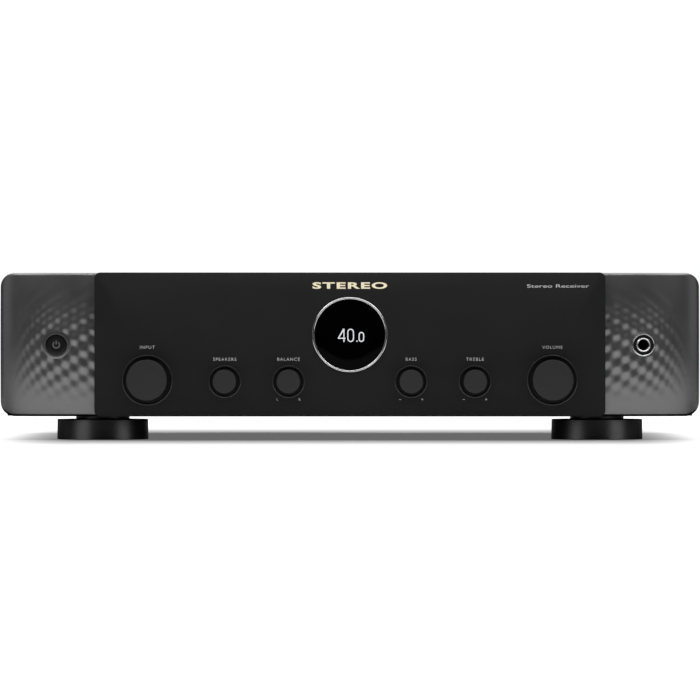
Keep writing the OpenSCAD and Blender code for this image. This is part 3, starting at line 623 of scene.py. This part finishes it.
@dataclass
class Knob:
    """A turned knob in its well."""

    name: str
    large: bool
    marks: str = ""
    chamfer: float = 0.45 * MM
    wall: float = 1.6 * MM
    bore: float = 3.05 * MM
    bore_end: float = 4 * MM
    hub: float = 5.05 * MM
    top_wall: float = 3 * MM
    x: float = field(init=False)
    z: float = field(init=False)
    low: Vector = field(init=False)
    high: Vector = field(init=False)

    def __post_init__(self) -> None:
        """Reads the knob's place from the frame."""
        self.low, self.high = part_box(f"{self.name}_knob")
        self.x = (self.low.x + self.high.x) / 2
        self.z = (self.low.z + self.high.z) / 2

    def centre(self, y: float) -> Vector:
        """The point on the knob's axis at a given Y."""
        return Vector((self.x, y, self.z))

    def build(self) -> None:
        """Makes the turned body and its face."""
        radius = (self.high.x - self.low.x) / 2
        front, back = self.low.y, self.high.y
        length = back - front
        body = f"{self.name}_control"
        centre, suffix = self.centre(0), "_" + self.name
        bm = bmesh.new()
        edge = self.chamfer
        turned(bm, [(radius - edge, 0.05 * MM), (radius - 0.1 * MM, edge * 0.75),
                    (radius, edge * 1.4), (radius, length - 0.4 * MM),
                    (radius - 0.4 * MM, length), (radius - self.wall, length),
                    (radius - self.wall, self.top_wall), (self.hub, self.top_wall),
                    (self.hub, length - 2 * MM), (self.bore, length - 2 * MM),
                    (self.bore, self.bore_end), (0, self.bore_end)], self.centre(front))
        piece(f"{self.name}_knob_body", bm, KNOB_SIDE.material(centre, suffix),
              [f"{self.name}_knob"], body)
        bm = bmesh.new()
        turned(bm, [(0, 0), (radius * 0.5, 0), (radius - edge - 0.35 * MM, 0),
                    (radius - edge, 0.05 * MM), (radius - edge, 0.6 * MM), (0, 0.6 * MM)],
               self.centre(front))
        piece(f"{self.name}_knob_face", bm, KNOB_FACE.material(centre, suffix),
              body=body)


@dataclass
class Wing:
    """One curved, scalloped wing, which surrounds a round control."""

    side: int
    columns: int = 200
    rows: int = 220
    corner: float = 9.6 * MM
    edge: float = 1.7 * MM
    flat: float = 3.2 * MM
    sweep: float = 22 * MM
    power: float = 2.5
    bulge: float = 3.0 * MM
    hole: float = 7.0 * MM
    hole_lip: float = 0.25 * MM
    first_column: float = 0.6 * MM
    last_column: float = 16.0
    gather: float = 0.2 * MM
    pitch_z: float = 10.45 * MM
    drop: float = 3.36 * MM
    start_z: float = 2.55 * MM
    relief: float = 0.36 * MM
    crest_z: float = 60 * MM
    fade_z: float = 28 * MM
    cross_z: float = 52 * MM
    cross_fade: float = 34 * MM
    rising_share: float = 0.52
    cross_share: float = 0.48
    cross_outside: float = 0.6
    gain_above: float = 0.5
    fade_outside: float = 2.4
    hole_wall: float = 5 * MM
    back_lip: float = 2.5 * MM
    inner: float = field(init=False)
    outer: float = field(init=False)
    front: float = field(init=False)
    back: float = field(init=False)
    base: float = field(init=False)
    top: float = field(init=False)
    hole_at: tuple[float, float] = field(init=False)

    def build(self, control: str) -> None:
        """Makes the wing and cuts the hole round a CAD node.

        Args:
            control: the CAD node that sits in the hole.
        """
        node = "left_wing" if self.side < 0 else "right_wing"
        low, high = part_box(node)
        spot, _ = front_of(control)
        self.inner = min(abs(low.x), abs(high.x))
        self.outer = max(abs(low.x), abs(high.x))
        self.front, self.back = low.y, high.y
        self.base, self.top = low.z, high.z
        self.hole_at = (abs(spot.x), spot.z)
        bm = bmesh.new()
        made = bmesh.ops.create_grid(bm, x_segments=self.columns, y_segments=self.rows,
                                     size=0.5)["verts"]
        for v in made:
            v.co = self._point(v.co.x + 0.5, v.co.y + 0.5)
        self._cut_hole(bm)
        self._add_walls(bm)
        bmesh.ops.recalc_face_normals(bm, faces=bm.faces[:])
        if self.side < 0:
            bmesh.ops.scale(bm, vec=(-1, 1, 1), verts=bm.verts[:])
            bmesh.ops.reverse_faces(bm, faces=bm.faces[:])
        piece(node + "_skin", bm, WING.material(suffix="_" + node), [node],
              smooth=math.radians(50), orient=False)

    def _point(self, s: float, t: float) -> Vector:
        """A point of the face on the +X side; s runs outwards and t upwards, both 0 to 1."""
        a = s * QUARTER
        x = self.inner + (self.outer - self.inner) * (0.25 * s + 0.75 * math.sin(a))
        if s >= 1.0 - 1e-9:
            x = self.outer
        drop = 0.0
        reach = x - (self.outer - self.corner)
        if reach > 0:
            drop = self.corner - math.sqrt(max(0.0, self.corner**2 - reach**2))
        share = 0.55 * t + 0.45 * (0.5 - 0.5 * math.cos(math.pi * t))
        z = self.base + drop + (self.top - self.base - 2 * drop) * share
        return Vector((x, self._depth(x, z), z))

    def _depth(self, x: float, z: float) -> float:
        """The Y of the face at a place seen from the front."""
        t = max(0.0, (x - self.inner - self.flat) / (self.outer - self.inner - self.flat))
        t = min(1.0, t)
        y = self.front + self.sweep * (1 - (1 - t**self.power) ** (1 / self.power))
        middle = (self.base + self.top) / 2
        y += self.bulge * ((z - middle) / (self.top - middle)) ** 2
        y += self._round(self._distance(x, z), self.edge)
        y += self._scallops(x, z)
        ring = math.hypot(x - self.hole_at[0], z - self.hole_at[1]) - self.hole
        y += self.hole_lip * max(0.0, 1 - ring / self.hole_lip) if ring > 0 else self.hole_lip
        return y

    def _distance(self, x: float, z: float) -> float:
        """How far a place is inside the outline, not counting the inner edge."""
        cx = self.outer - self.corner
        cz = min(max(z, self.base + self.corner), self.top - self.corner)
        if x > cx and cz != z:
            return self.corner - math.hypot(x - cx, z - cz)
        return min(self.outer - x, z - self.base, self.top - z)

    @staticmethod
    def _round(distance: float, radius: float) -> float:
        """The setback of a quarter-round edge at a distance from the outline."""
        if distance >= radius:
            return 0.0
        return radius - math.sqrt(max(0.0, radius**2 - (radius - distance) ** 2))

    def _scallops(self, x: float, z: float) -> float:
        """Two families of slanting waves, closer together outwards, that cross in dimples."""
        u = x - self.inner - self.flat - self.first_column
        left = max(0.0, self.last_column**2 - u / self.gather)
        column = self.last_column - math.sqrt(left)
        rising = TAU * (z - self.start_z + self.drop * column) / self.pitch_z
        falling = rising - TAU * column
        crowd = left / self.last_column**2
        above = max(0.0, z - self.cross_z) / self.cross_fade
        cross = self.cross_share * math.exp(-(above**2))
        cross *= self.cross_outside + (1 - self.cross_outside) * min(1.0, crowd)
        wave = self.rising_share * math.cos(rising) + cross * math.cos(falling)
        fade_z = math.exp(-(((z - self.crest_z) / self.fade_z) ** 4))
        fade_x = min(1.0, self.fade_outside * crowd)
        return self.relief * wave * (1 + self.gain_above * above) * fade_z * fade_x

    def _cut_hole(self, bm: Mesh) -> None:
        """Opens the round hole and runs its wall inwards."""
        cx, cz = self.hole_at
        inside = [v for v in bm.verts if math.hypot(v.co.x - cx, v.co.z - cz) < self.hole]
        bmesh.ops.delete(bm, geom=inside, context="VERTS")
        rim = [e for e in bm.edges if e.is_boundary
               and math.hypot(e.verts[0].co.x - cx, e.verts[0].co.z - cz) < self.hole * 1.5]
        verts = {v for e in rim for v in e.verts}
        for v in verts:
            r = math.hypot(v.co.x - cx, v.co.z - cz)
            v.co.x = cx + (v.co.x - cx) * self.hole / r
            v.co.z = cz + (v.co.z - cz) * self.hole / r
            v.co.y = self._depth(v.co.x, v.co.z)
        pull(bm, rim, Vector((cx, 0, cz)), 1.0, self.hole_wall)

    def _add_walls(self, bm: Mesh) -> None:
        """Runs the outline back to the frame, then turns a lip inwards."""
        rim = [e for e in bm.edges if e.is_boundary and max(
            abs(self._distance(v.co.x, v.co.z)) for v in e.verts) < 1e-5]
        inner = [e for e in bm.edges if e.is_boundary and max(
            abs(v.co.x - self.inner) for v in e.verts) < 1e-6]
        verts, edge = extrude(bm, list(dict.fromkeys(rim + inner)))
        for v in verts:
            v.co.y = self.back
        middle = Vector(((self.inner + self.outer) / 2, 0, (self.base + self.top) / 2))
        pull(bm, edge, middle, 1 - 2 * self.back_lip / (self.outer - self.inner), 0.0,
             1 - 2 * self.back_lip / (self.top - self.base))


@dataclass
class Display:
    """The ring, the window and the reading behind it."""

    ring: float = 23.8 * MM
    ring_inner: float = 22.2 * MM
    proud: float = 1.2 * MM
    shelf: float = 1.6 * MM
    stroke: float = 0.68 * MM
    digits_drop: float = 4.55 * MM
    digit_height: float = 8.3 * MM
    small_height: float = 6.3 * MM
    dot: float = 0.42 * MM

    def build(self) -> None:
        """Makes the ring, the window and the digits."""
        low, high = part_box("display_bezel")
        centre = Vector((0, high.y, (low.z + high.z) / 2))
        front = low.y - high.y
        face = front + self.proud
        bm = bmesh.new()
        middle = (self.ring + self.ring_inner) / 2
        half = (self.ring - self.ring_inner) / 2
        crown = [(middle + half * math.cos(math.radians(a)),
                  front + half * (1 - math.sin(math.radians(a)))) for a in range(0, 181, 15)]
        turned(bm, [(self.ring, face), *crown, (self.ring_inner, face + 2 * MM),
                    (self.ring_inner - self.shelf, face + 2 * MM),
                    (self.ring_inner - self.shelf, 0.0), (self.ring - 0.7 * MM, 0.0),
                    (self.ring - 0.7 * MM, face)], centre, steps=160, closed=True)
        piece("display_ring", bm, CHROME.material(centre),
              ["display_bezel"])
        l_low, l_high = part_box("display_lens")
        radius = (l_high.x - l_low.x) / 2
        spot = Vector((0, l_low.y, centre.z))
        bm = bmesh.new()
        turned(bm, [(0, 0), (radius * 0.6, 0), (radius - 0.5 * MM, 0.02 * MM),
                    (radius, 0.3 * MM), (radius, l_high.y - l_low.y),
                    (0, l_high.y - l_low.y)], spot)
        piece("display_window", bm, WINDOW.material(spot), ["display_lens"])
        self._digits(spot)

    def _digits(self, spot: Vector) -> None:
        """Draws a plain volume reading."""
        bm = bmesh.new()
        y = spot.y - 0.02 * MM
        z = spot.z - self.digits_drop
        self._four(bm, Vector((-7.5 * MM, y, z)), 4.8 * MM, self.digit_height)
        self._zero(bm, Vector((-1.6 * MM, y, z)), 4.2 * MM, self.digit_height)
        self._zero(bm, Vector((5.5 * MM, y, z)), 3.5 * MM, self.small_height)
        fill(bm, loop(bm, circle(self.dot, 24), Vector((4.5 * MM, y, z + 0.5 * MM))))
        piece("display_digits", bm, DIGITS.material(), orient=False)

    def _zero(self, bm: Mesh, corner: Vector, width: float,
              height: float) -> None:
        """Adds a nought whose lower left corner is given."""
        stroke = self.stroke
        middle = corner + Vector((width / 2, 0, height / 2))
        shape = round_rect(width, height, width / 2 - 0.01 * MM, 12)
        inner = [Vector((p.x * (width - 2 * stroke) / width, 0,
                         p.z * (height - 2 * stroke) / height)) for p in shape]
        bmesh.ops.bridge_loops(bm, edges=loop(bm, shape, middle) + loop(bm, inner, middle))

    def _four(self, bm: Mesh, corner: Vector, width: float,
              height: float) -> None:
        """Adds a four whose lower left corner is given."""
        stroke = self.stroke
        stem = width * 0.72
        bar = height * 0.24
        outline = [(stem, 0), (stem + stroke, 0), (stem + stroke, bar), (width, bar),
                   (width, bar + stroke), (stem + stroke, bar + stroke),
                   (stem + stroke, height), (stem - 0.2 * MM, height), (0, bar + stroke),
                   (0, bar), (stem, bar)]
        counter = [(stem, bar + stroke), (stem, height - 1.5 * MM),
                   (stroke * 1.15, bar + stroke)]
        edges = loop(bm, [Vector((x, 0, z)) for x, z in outline], corner)
        fill(bm, edges + loop(bm, [Vector((x, 0, z)) for x, z in counter], corner))


@dataclass
class RoundControls:
    """The power button and the headphone socket, each in its ring."""

    cap: float = 6.4 * MM
    flange: float = 6.85 * MM
    flange_at: tuple[float, float] = (6.2 * MM, 7.4 * MM)
    stem: float = 2.2 * MM
    circle_out: float = 2.35 * MM
    circle_in: float = 1.65 * MM
    circle_gap: float = math.radians(38)
    circle_steps: int = 40
    recess: float = 6.32 * MM
    recess_in: float = 4.6 * MM
    sleeve_depth: float = 8 * MM

    def build(self) -> None:
        """Makes both controls."""
        self._power()
        self._headphones()

    def _power(self) -> None:
        """Makes the button, its ring and its symbol."""
        centre, depth = front_of("power_bezel")
        bm = bmesh.new()
        turned(bm, [(7.05 * MM, 2.2 * MM), (8.75 * MM, 2.2 * MM), (8.75 * MM, 0.7 * MM),
                    (8.65 * MM, 0.45 * MM), (8.3 * MM, 0.36 * MM), (7.0 * MM, 0.3 * MM),
                    (6.75 * MM, 0.33 * MM), (6.62 * MM, 0.5 * MM), (6.6 * MM, depth),
                    (7.05 * MM, depth)], centre, closed=True)
        piece("power_ring", bm, RING.material(centre, "_power"),
              ["power_bezel"])
        front, length = front_of("power_button")
        spot = Vector((centre.x, front.y, centre.z))
        near, far = self.flange_at
        bm = bmesh.new()
        turned(bm, [(0, 0.25 * MM), (3.2 * MM, 0.2 * MM), (5.6 * MM, 0.0),
                    (6.2 * MM, 0.15 * MM), (self.cap, 0.5 * MM), (self.cap, near),
                    (self.flange, near), (self.flange, far), (self.stem, far),
                    (self.stem, length), (0, length)], spot, steps=96)
        piece("power_button_cap", bm, BUTTON.material(spot),
              ["power_button"], "power_button")
        self._symbol(spot + Vector((0, 0.2 * MM, 0)))

    def _symbol(self, spot: Vector) -> None:
        """Draws the usual open circle with a bar."""
        bm = bmesh.new()
        gap, steps = self.circle_gap, self.circle_steps
        angles = [QUARTER + gap + (TAU - 2 * gap) * i / steps for i in range(steps + 1)]
        rings = []
        for r in (self.circle_out, self.circle_in):
            verts = [bm.verts.new(spot + Vector((r * math.cos(a), -0.04 * MM,
                                                 r * math.sin(a)))) for a in angles]
            rings.append([bm.edges.new(p) for p in zip(verts, verts[1:])])
        bmesh.ops.bridge_loops(bm, edges=rings[0] + rings[1])
        block(bm, spot + Vector((-0.34 * MM, -0.05 * MM, 0.3 * MM)),
              spot + Vector((0.34 * MM, 0.0, 2.6 * MM)))
        piece("power_symbol", bm, DIM_PRINT.material(), body="power_button",
              orient=False)

    def _headphones(self) -> None:
        """Makes the ring and the plated sleeve of the socket."""
        centre, depth = front_of("headphone_bezel")
        bm = bmesh.new()
        turned(bm, [(7.1 * MM, 1.6 * MM), (7.1 * MM, 0.25 * MM), (6.95 * MM, 0.05 * MM),
                    (6.7 * MM, 0), (6.5 * MM, 0.1 * MM), (6.35 * MM, 0.4 * MM),
                    (6.3 * MM, 1.6 * MM), (6.3 * MM, depth), (7.1 * MM, depth)],
               centre, closed=True)
        piece("headphone_ring", bm, NICKEL.material(centre, "_phones"),
              ["headphone_bezel"])
        bm = bmesh.new()
        turned(bm, [(self.recess, 1.5 * MM), (self.recess_in, 1.6 * MM),
                    (self.recess_in, depth), (self.recess, depth)],
               centre, steps=96, closed=True)
        # The recess between the ring and the sleeve is coloured near black, as painted shade
        # in the gap.
        piece("headphone_recess", bm, HOLE_SHADE.material(suffix="_phones"))
        front, _ = front_of("headphone_jack")
        spot = Vector((centre.x, front.y, centre.z))
        bm = bmesh.new()
        turned(bm, [(4.5 * MM, self.sleeve_depth), (4.55 * MM, 0.45 * MM),
                    (4.47 * MM, 0.05 * MM), (4.25 * MM, -0.2 * MM), (3.95 * MM, -0.3 * MM),
                    (3.65 * MM, -0.2 * MM), (3.4 * MM, 0.1 * MM), (3.27 * MM, 0.6 * MM),
                    (3.27 * MM, self.sleeve_depth)], spot, steps=96, closed=True)
        piece("headphone_sleeve", bm, NICKEL.material(spot, "_sleeve"))


@dataclass
class RearPrint:
    """Plain words printed on the rear panel beside what they name."""

    height: float = 2.2 * MM
    gap: float = 3.2 * MM
    audio_drop: float = 27 * MM
    surface: float = field(init=False)
    audio: tuple[tuple[str, str, float], ...] = (
        ("aux", "AUX", 190), ("disc", "CD", 170), ("tv", "TV", 150), ("tape", "TAPE", 130),
        ("phono", "PHONO", 104), ("zone", "ZONE 2", 84), ("sub", "SUB OUT", 60),
        ("trigger", "12V", 38),
    )
    groups: tuple[tuple[str, str, str, float], ...] = (
        ("video", "HDMI IN 1-6 / OUT", "hdmi_sockets", -1.0),
        ("data", "OPTICAL   NETWORK   USB", "data_sockets", -1.0),
        ("speakers", "SPEAKERS  A / B", "terminal_base", 0.6),
        ("mains", "AC IN", "mains_inlet", 1.0),
    )

    def build(self) -> None:
        """Prints the words above or below each group of sockets."""
        self.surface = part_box("rear_panel")[1].y
        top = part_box("rca_jacks")[1].z - self.audio_drop
        for name, words, x in self.audio:
            self._word(name, words, x * MM, top)
        for name, words, node, gaps in self.groups:
            low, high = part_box(node)
            self._word(name, words, (low.x + high.x) / 2,
                       (high.z if gaps > 0 else low.z) + gaps * self.gap)

    def _word(self, name: str, words: str, x: float, z: float) -> None:
        """Prints one line of words, centred on x and z."""
        lettering("rear_" + name, words, self.height, Vector((x, self.surface, z)),
                  Facing.REAR, PRINT, spacing=1.1)


@dataclass
class Feet:
    """Four round feet, each a glossy disc on a narrower neck."""

    neck: float = 17 * MM
    front_neck_height: float = 2.1 * MM
    rear_neck_height: float = 5.1 * MM
    screw_well: float = 6 * MM
    bolt: float = 2.2 * MM
    web: float = 3 * MM
    felt_in: float = 12 * MM
    felt: float = 23 * MM
    felt_depth: float = 1.2 * MM
    draft: float = math.radians(0.7)

    def build(self) -> list[bpy.types.Object]:
        """Makes one piece for the front pair and one for the rear pair.

        Returns:
            The two pieces.
        """
        made = []
        for node, rise in (("front_feet", self.front_neck_height),
                           ("rear_feet", self.rear_neck_height)):
            low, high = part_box(node)
            bm = bmesh.new()
            radius = (high.y - low.y) / 2
            for x in (low.x + radius, high.x - radius):
                self._foot(bm, Vector((x, (low.y + high.y) / 2, 0)), radius, high.z - rise,
                           high.z)
            made.append(piece(node + "_turned", bm, FOOT.material(suffix="_" + node),
                              [node]))
        return made

    def _foot(self, bm: Mesh, centre: Vector, radius: float, shoulder: float,
              height: float) -> None:
        """Adds one foot, whose disc reaches up to the shoulder."""
        draft = shoulder * math.tan(self.draft)
        turned(bm, [(self.screw_well, 0), (self.felt_in, 0), (self.felt_in, self.felt_depth),
                    (self.felt, self.felt_depth), (self.felt, 0), (radius - 0.9 * MM, 0),
                    (radius - 0.25 * MM, 0.08 * MM), (radius, 0.35 * MM),
                    (radius - 0.04 * draft, 0.6 * MM),
                    (radius - 0.96 * draft, shoulder - 0.65 * MM),
                    (radius - draft, shoulder - 0.4 * MM),
                    (radius - draft - 0.12 * MM, shoulder - 0.12 * MM),
                    (radius - draft - 0.4 * MM, shoulder), (self.neck + 0.6 * MM, shoulder),
                    (self.neck, shoulder + 0.5 * MM), (self.neck, height),
                    (self.bolt, height), (self.bolt, shoulder - self.web),
                    (self.screw_well, shoulder - self.web)],
               centre, Axis.Z, steps=144, closed=True)


@dataclass(frozen=True)
class Softbox:
    """A rectangular light that shines from a place towards another.

    radiance is how bright its face is; the light's power follows from its size.
    """

    name: str
    place: tuple[float, float, float]
    aim: tuple[float, float, float]
    size: tuple[float, float]
    radiance: float

    def build(self, only: Sequence[bpy.types.Object] = ()) -> None:
        """Makes the light.

        Args:
            only: the pieces that it lights, where it doesn't light all.
        """
        data = bpy.data.lights.new(self.name, "AREA")
        data.shape = "RECTANGLE"
        data.size, data.size_y = self.size
        data.energy = self.radiance * math.pi * self.size[0] * self.size[1]
        lamp = bpy.data.objects.new(self.name, data)
        lamp.location = self.place
        towards = Vector(self.aim) - Vector(self.place)
        lamp.rotation_euler = towards.to_track_quat("-Z", "Y").to_euler()
        lamp.visible_camera = False
        bpy.context.scene.collection.objects.link(lamp)
        if only:
            lit = bpy.data.collections.new(self.name + "_lights")
            for obj in only:
                lit.objects.link(obj)
            lamp.light_linking.receiver_collection = lit


@dataclass
class Studio:
    """Pale floor, soft light and the camera."""

    lens: float = 343.9
    sensor: float = 36.0
    clip: tuple[float, float] = (0.1, 200.0)
    distance: float = 4.2
    eye: float = 0.065
    aim: float = 0.0568
    shift_x: float = 0.0001
    ambient: float = 0.06
    backdrop: float = 1.02
    floor_half: float = 15.0
    # The floor's colour for reflected light is painted: nought under the object as a painted
    # shadow, bright in a band round it as painted bounce, and nearly nought far off.
    bounce: float = 0.95
    bounce_rest: float = 0.04
    bounce_half: tuple[float, float] = (0.33, 0.175)
    bounce_start: float = 0.005
    bounce_full: float = 0.03
    bounce_near: float = 0.24
    bounce_far: float = 0.42
    bounce_width: float = 0.13
    floor_seen: float = 0.35
    # Painted soft shadow: for the camera the floor's glow is low round the object and rises to
    # full white away from it.
    painted_shadow_far: float = 0.3
    painted_shadow_half: tuple[float, float] = (0.17, 0.18)
    painted_shadow_stretch: float = 4.0
    painted_shadow_near: float = 0.14
    lights: tuple[Softbox, ...] = (
        Softbox("overhead", (0, 0.4, 1.2), (0, 0, 0), (2.4, 1.6), 1.7),
        Softbox("front_top", (0, -0.3, 0.25), (0, -0.175, 0.07), (0.4, 0.05), 3.6),
        Softbox("left_key", (-0.5, -0.42, 0.55), (-0.1, -0.175, 0.06), (0.5, 0.4), 1.6),
        Softbox("right_key", (0.5, -0.42, 0.55), (0.1, -0.175, 0.06), (0.5, 0.4), 1.6),
        Softbox("left_side", (-1.2, -0.1, 0.25), (-0.22, -0.15, 0.06), (0.9, 0.5), 0.25),
        Softbox("right_side", (1.2, -0.1, 0.25), (0.22, -0.15, 0.06), (0.9, 0.5), 0.25),
        Softbox("rear_fill", (0, 1.9, 1.0), (0, 0.1, 0.05), (1.8, 1.0), 2.0),
    )
    foot_lights: tuple[Softbox, ...] = (
        Softbox("left_strip", (-1.3, -1.1, 0.2), (0, -0.1, 0.01), (0.9, 0.5), 6.0),
        Softbox("right_strip", (1.3, -1.1, 0.2), (0, -0.1, 0.01), (0.9, 0.5), 6.0),
    )

    def build(self, feet: Sequence[bpy.types.Object]) -> None:
        """Makes the floor, the world, the lights and the camera.

        Args:
            feet: the pieces that the foot lights shine on.
        """
        self._camera()
        self._world()
        self._floor()
        for light in self.lights:
            light.build()
        for light in self.foot_lights:
            light.build(feet)
        scene = bpy.context.scene
        scene.view_settings.view_transform = "Standard"
        scene.view_settings.look = "None"

    def _camera(self) -> None:
        """Places the camera in front of the plate."""
        low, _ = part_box("center_plate")
        data = bpy.data.cameras.new("camera")
        data.lens = self.lens
        data.sensor_width = self.sensor
        data.clip_start, data.clip_end = self.clip
        camera = bpy.data.objects.new("camera", data)
        camera.location = (self.shift_x, low.y - self.distance, self.eye)
        down = math.atan2(self.eye - self.aim, self.distance)
        camera.rotation_euler = (QUARTER - down, 0, 0)
        bpy.context.scene.collection.objects.link(camera)
        bpy.context.scene.camera = camera

    def _world(self) -> None:
        """White behind the object, and dim as a light."""
        world = bpy.data.worlds.new("studio")
        bpy.context.scene.world = world
        world.use_nodes = True
        graph, nodes = Graph(world.node_tree), world.node_tree.nodes
        plain = nodes["Background"]
        plain.inputs["Color"].default_value = (1, 1, 1, 1)
        plain.inputs["Strength"].default_value = self.ambient
        white = graph.add("Background", {"Color": (1, 1, 1, 1), "Strength": self.backdrop})
        seen = graph.add("LightPath").outputs["Is Camera Ray"]
        mix = graph.add("MixShader", {"Fac": seen, 1: plain.outputs["Background"],
                                      2: white.outputs["Background"]})
        graph.feed(nodes["World Output"].inputs["Surface"], mix.outputs["Shader"])

    def _floor(self) -> None:
        """A wide pale floor, whose bounce is strongest round the object. Its colour for
        reflected light is painted dark under the object as a painted shadow, and for the
        camera its glow is low round the object as a painted soft shadow.
        """
        bm = bmesh.new()
        bmesh.ops.create_grid(bm, x_segments=1, y_segments=1, size=self.floor_half)
        mesh = bpy.data.meshes.new("floor")
        bm.to_mesh(mesh)
        bm.free()
        floor = bpy.data.objects.new("floor", mesh)
        bpy.context.scene.collection.objects.link(floor)
        mat = bpy.data.materials.new("floor_pale")
        mat.use_nodes = True
        graph, nodes = Graph(mat.node_tree), mat.node_tree.nodes
        nodes.remove(nodes["Principled BSDF"])
        place = graph.add("TexCoord").outputs["Object"]
        # Painted shadow and bounce for reflected light: nought inside bounce_half, rising to
        # bounce just outside it, and falling to bounce_rest between bounce_near and
        # bounce_far.
        rise = graph.fade(graph.outside(place, self.bounce_half),
                          (self.bounce_start, self.bounce_full), (0, self.bounce))
        wide = graph.outside(place, (self.bounce_width, self.bounce_half[1]))
        fall = graph.fade(wide, (self.bounce_near, self.bounce_far), (1, self.bounce_rest))
        # Painted soft shadow for the camera: the glow strength is low round the object and
        # reaches full white beyond the painted shadow's reach.
        pale = graph.fade(graph.outside(place, self.painted_shadow_half, self.painted_shadow_stretch),
                          (0.0, self.painted_shadow_far), (self.painted_shadow_near, 1.0))
        seen = graph.add("LightPath").outputs["Is Camera Ray"]
        shade = graph.add("Mix", {"Factor": seen, "A": graph.times(rise, fall),
                                  "B": self.floor_seen}, data_type="FLOAT")
        matt = graph.add("BsdfDiffuse", {"Color": shade.outputs["Result"]})
        glow = graph.add("Emission", {"Strength": graph.times(pale, seen)})
        both = graph.add("AddShader", {0: matt.outputs["BSDF"], 1: glow.outputs["Emission"]})
        graph.feed(nodes["Material Output"].inputs["Surface"], both.outputs["Shader"])
        mesh.materials.append(mat)


def dress_cad(nodes: dict[str, bpy.types.Object]) -> None:
    """Gives each CAD node that stays in view its finish.

    Args:
        nodes: the frame's nodes by name.
    """
    shared: dict[str, bpy.types.Material] = {}
    for name, obj in nodes.items():
        finish = CAD_FINISHES.get(name)
        if finish is None:
            if name.endswith("_cap"):
                finish = RED_CAP if "plus" in name else BLACK_CAP
            elif "aerial" in name:
                finish = AERIAL
            elif name.endswith("_shaft"):
                finish = ZINC
            else:
                continue
        if finish.name not in shared:
            shared[finish.name] = finish.material(suffix="_cad")
        obj.data.materials.clear()
        obj.data.materials.append(shared[finish.name])


def main() -> None:
    """Builds the receiver's looks in order."""
    logging.basicConfig(level=logging.INFO, format="%(name)s: %(message)s")
    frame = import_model()
    knobs = [Knob("input", True), Knob("speakers", False), Knob("balance", False, "LR"),
             Knob("bass", False, "-+"), Knob("treble", False, "-+"), Knob("volume", True)]
    FrontPlate().build(knobs)
    for knob in knobs:
        knob.build()
    Wing(-1).build("power_bezel")
    Wing(1).build("headphone_bezel")
    Display().build()
    RoundControls().build()
    RearPrint().build()
    Studio().build(Feet().build())
    dress_cad(frame["nodes"])


if __name__ == "__main__":
    main()
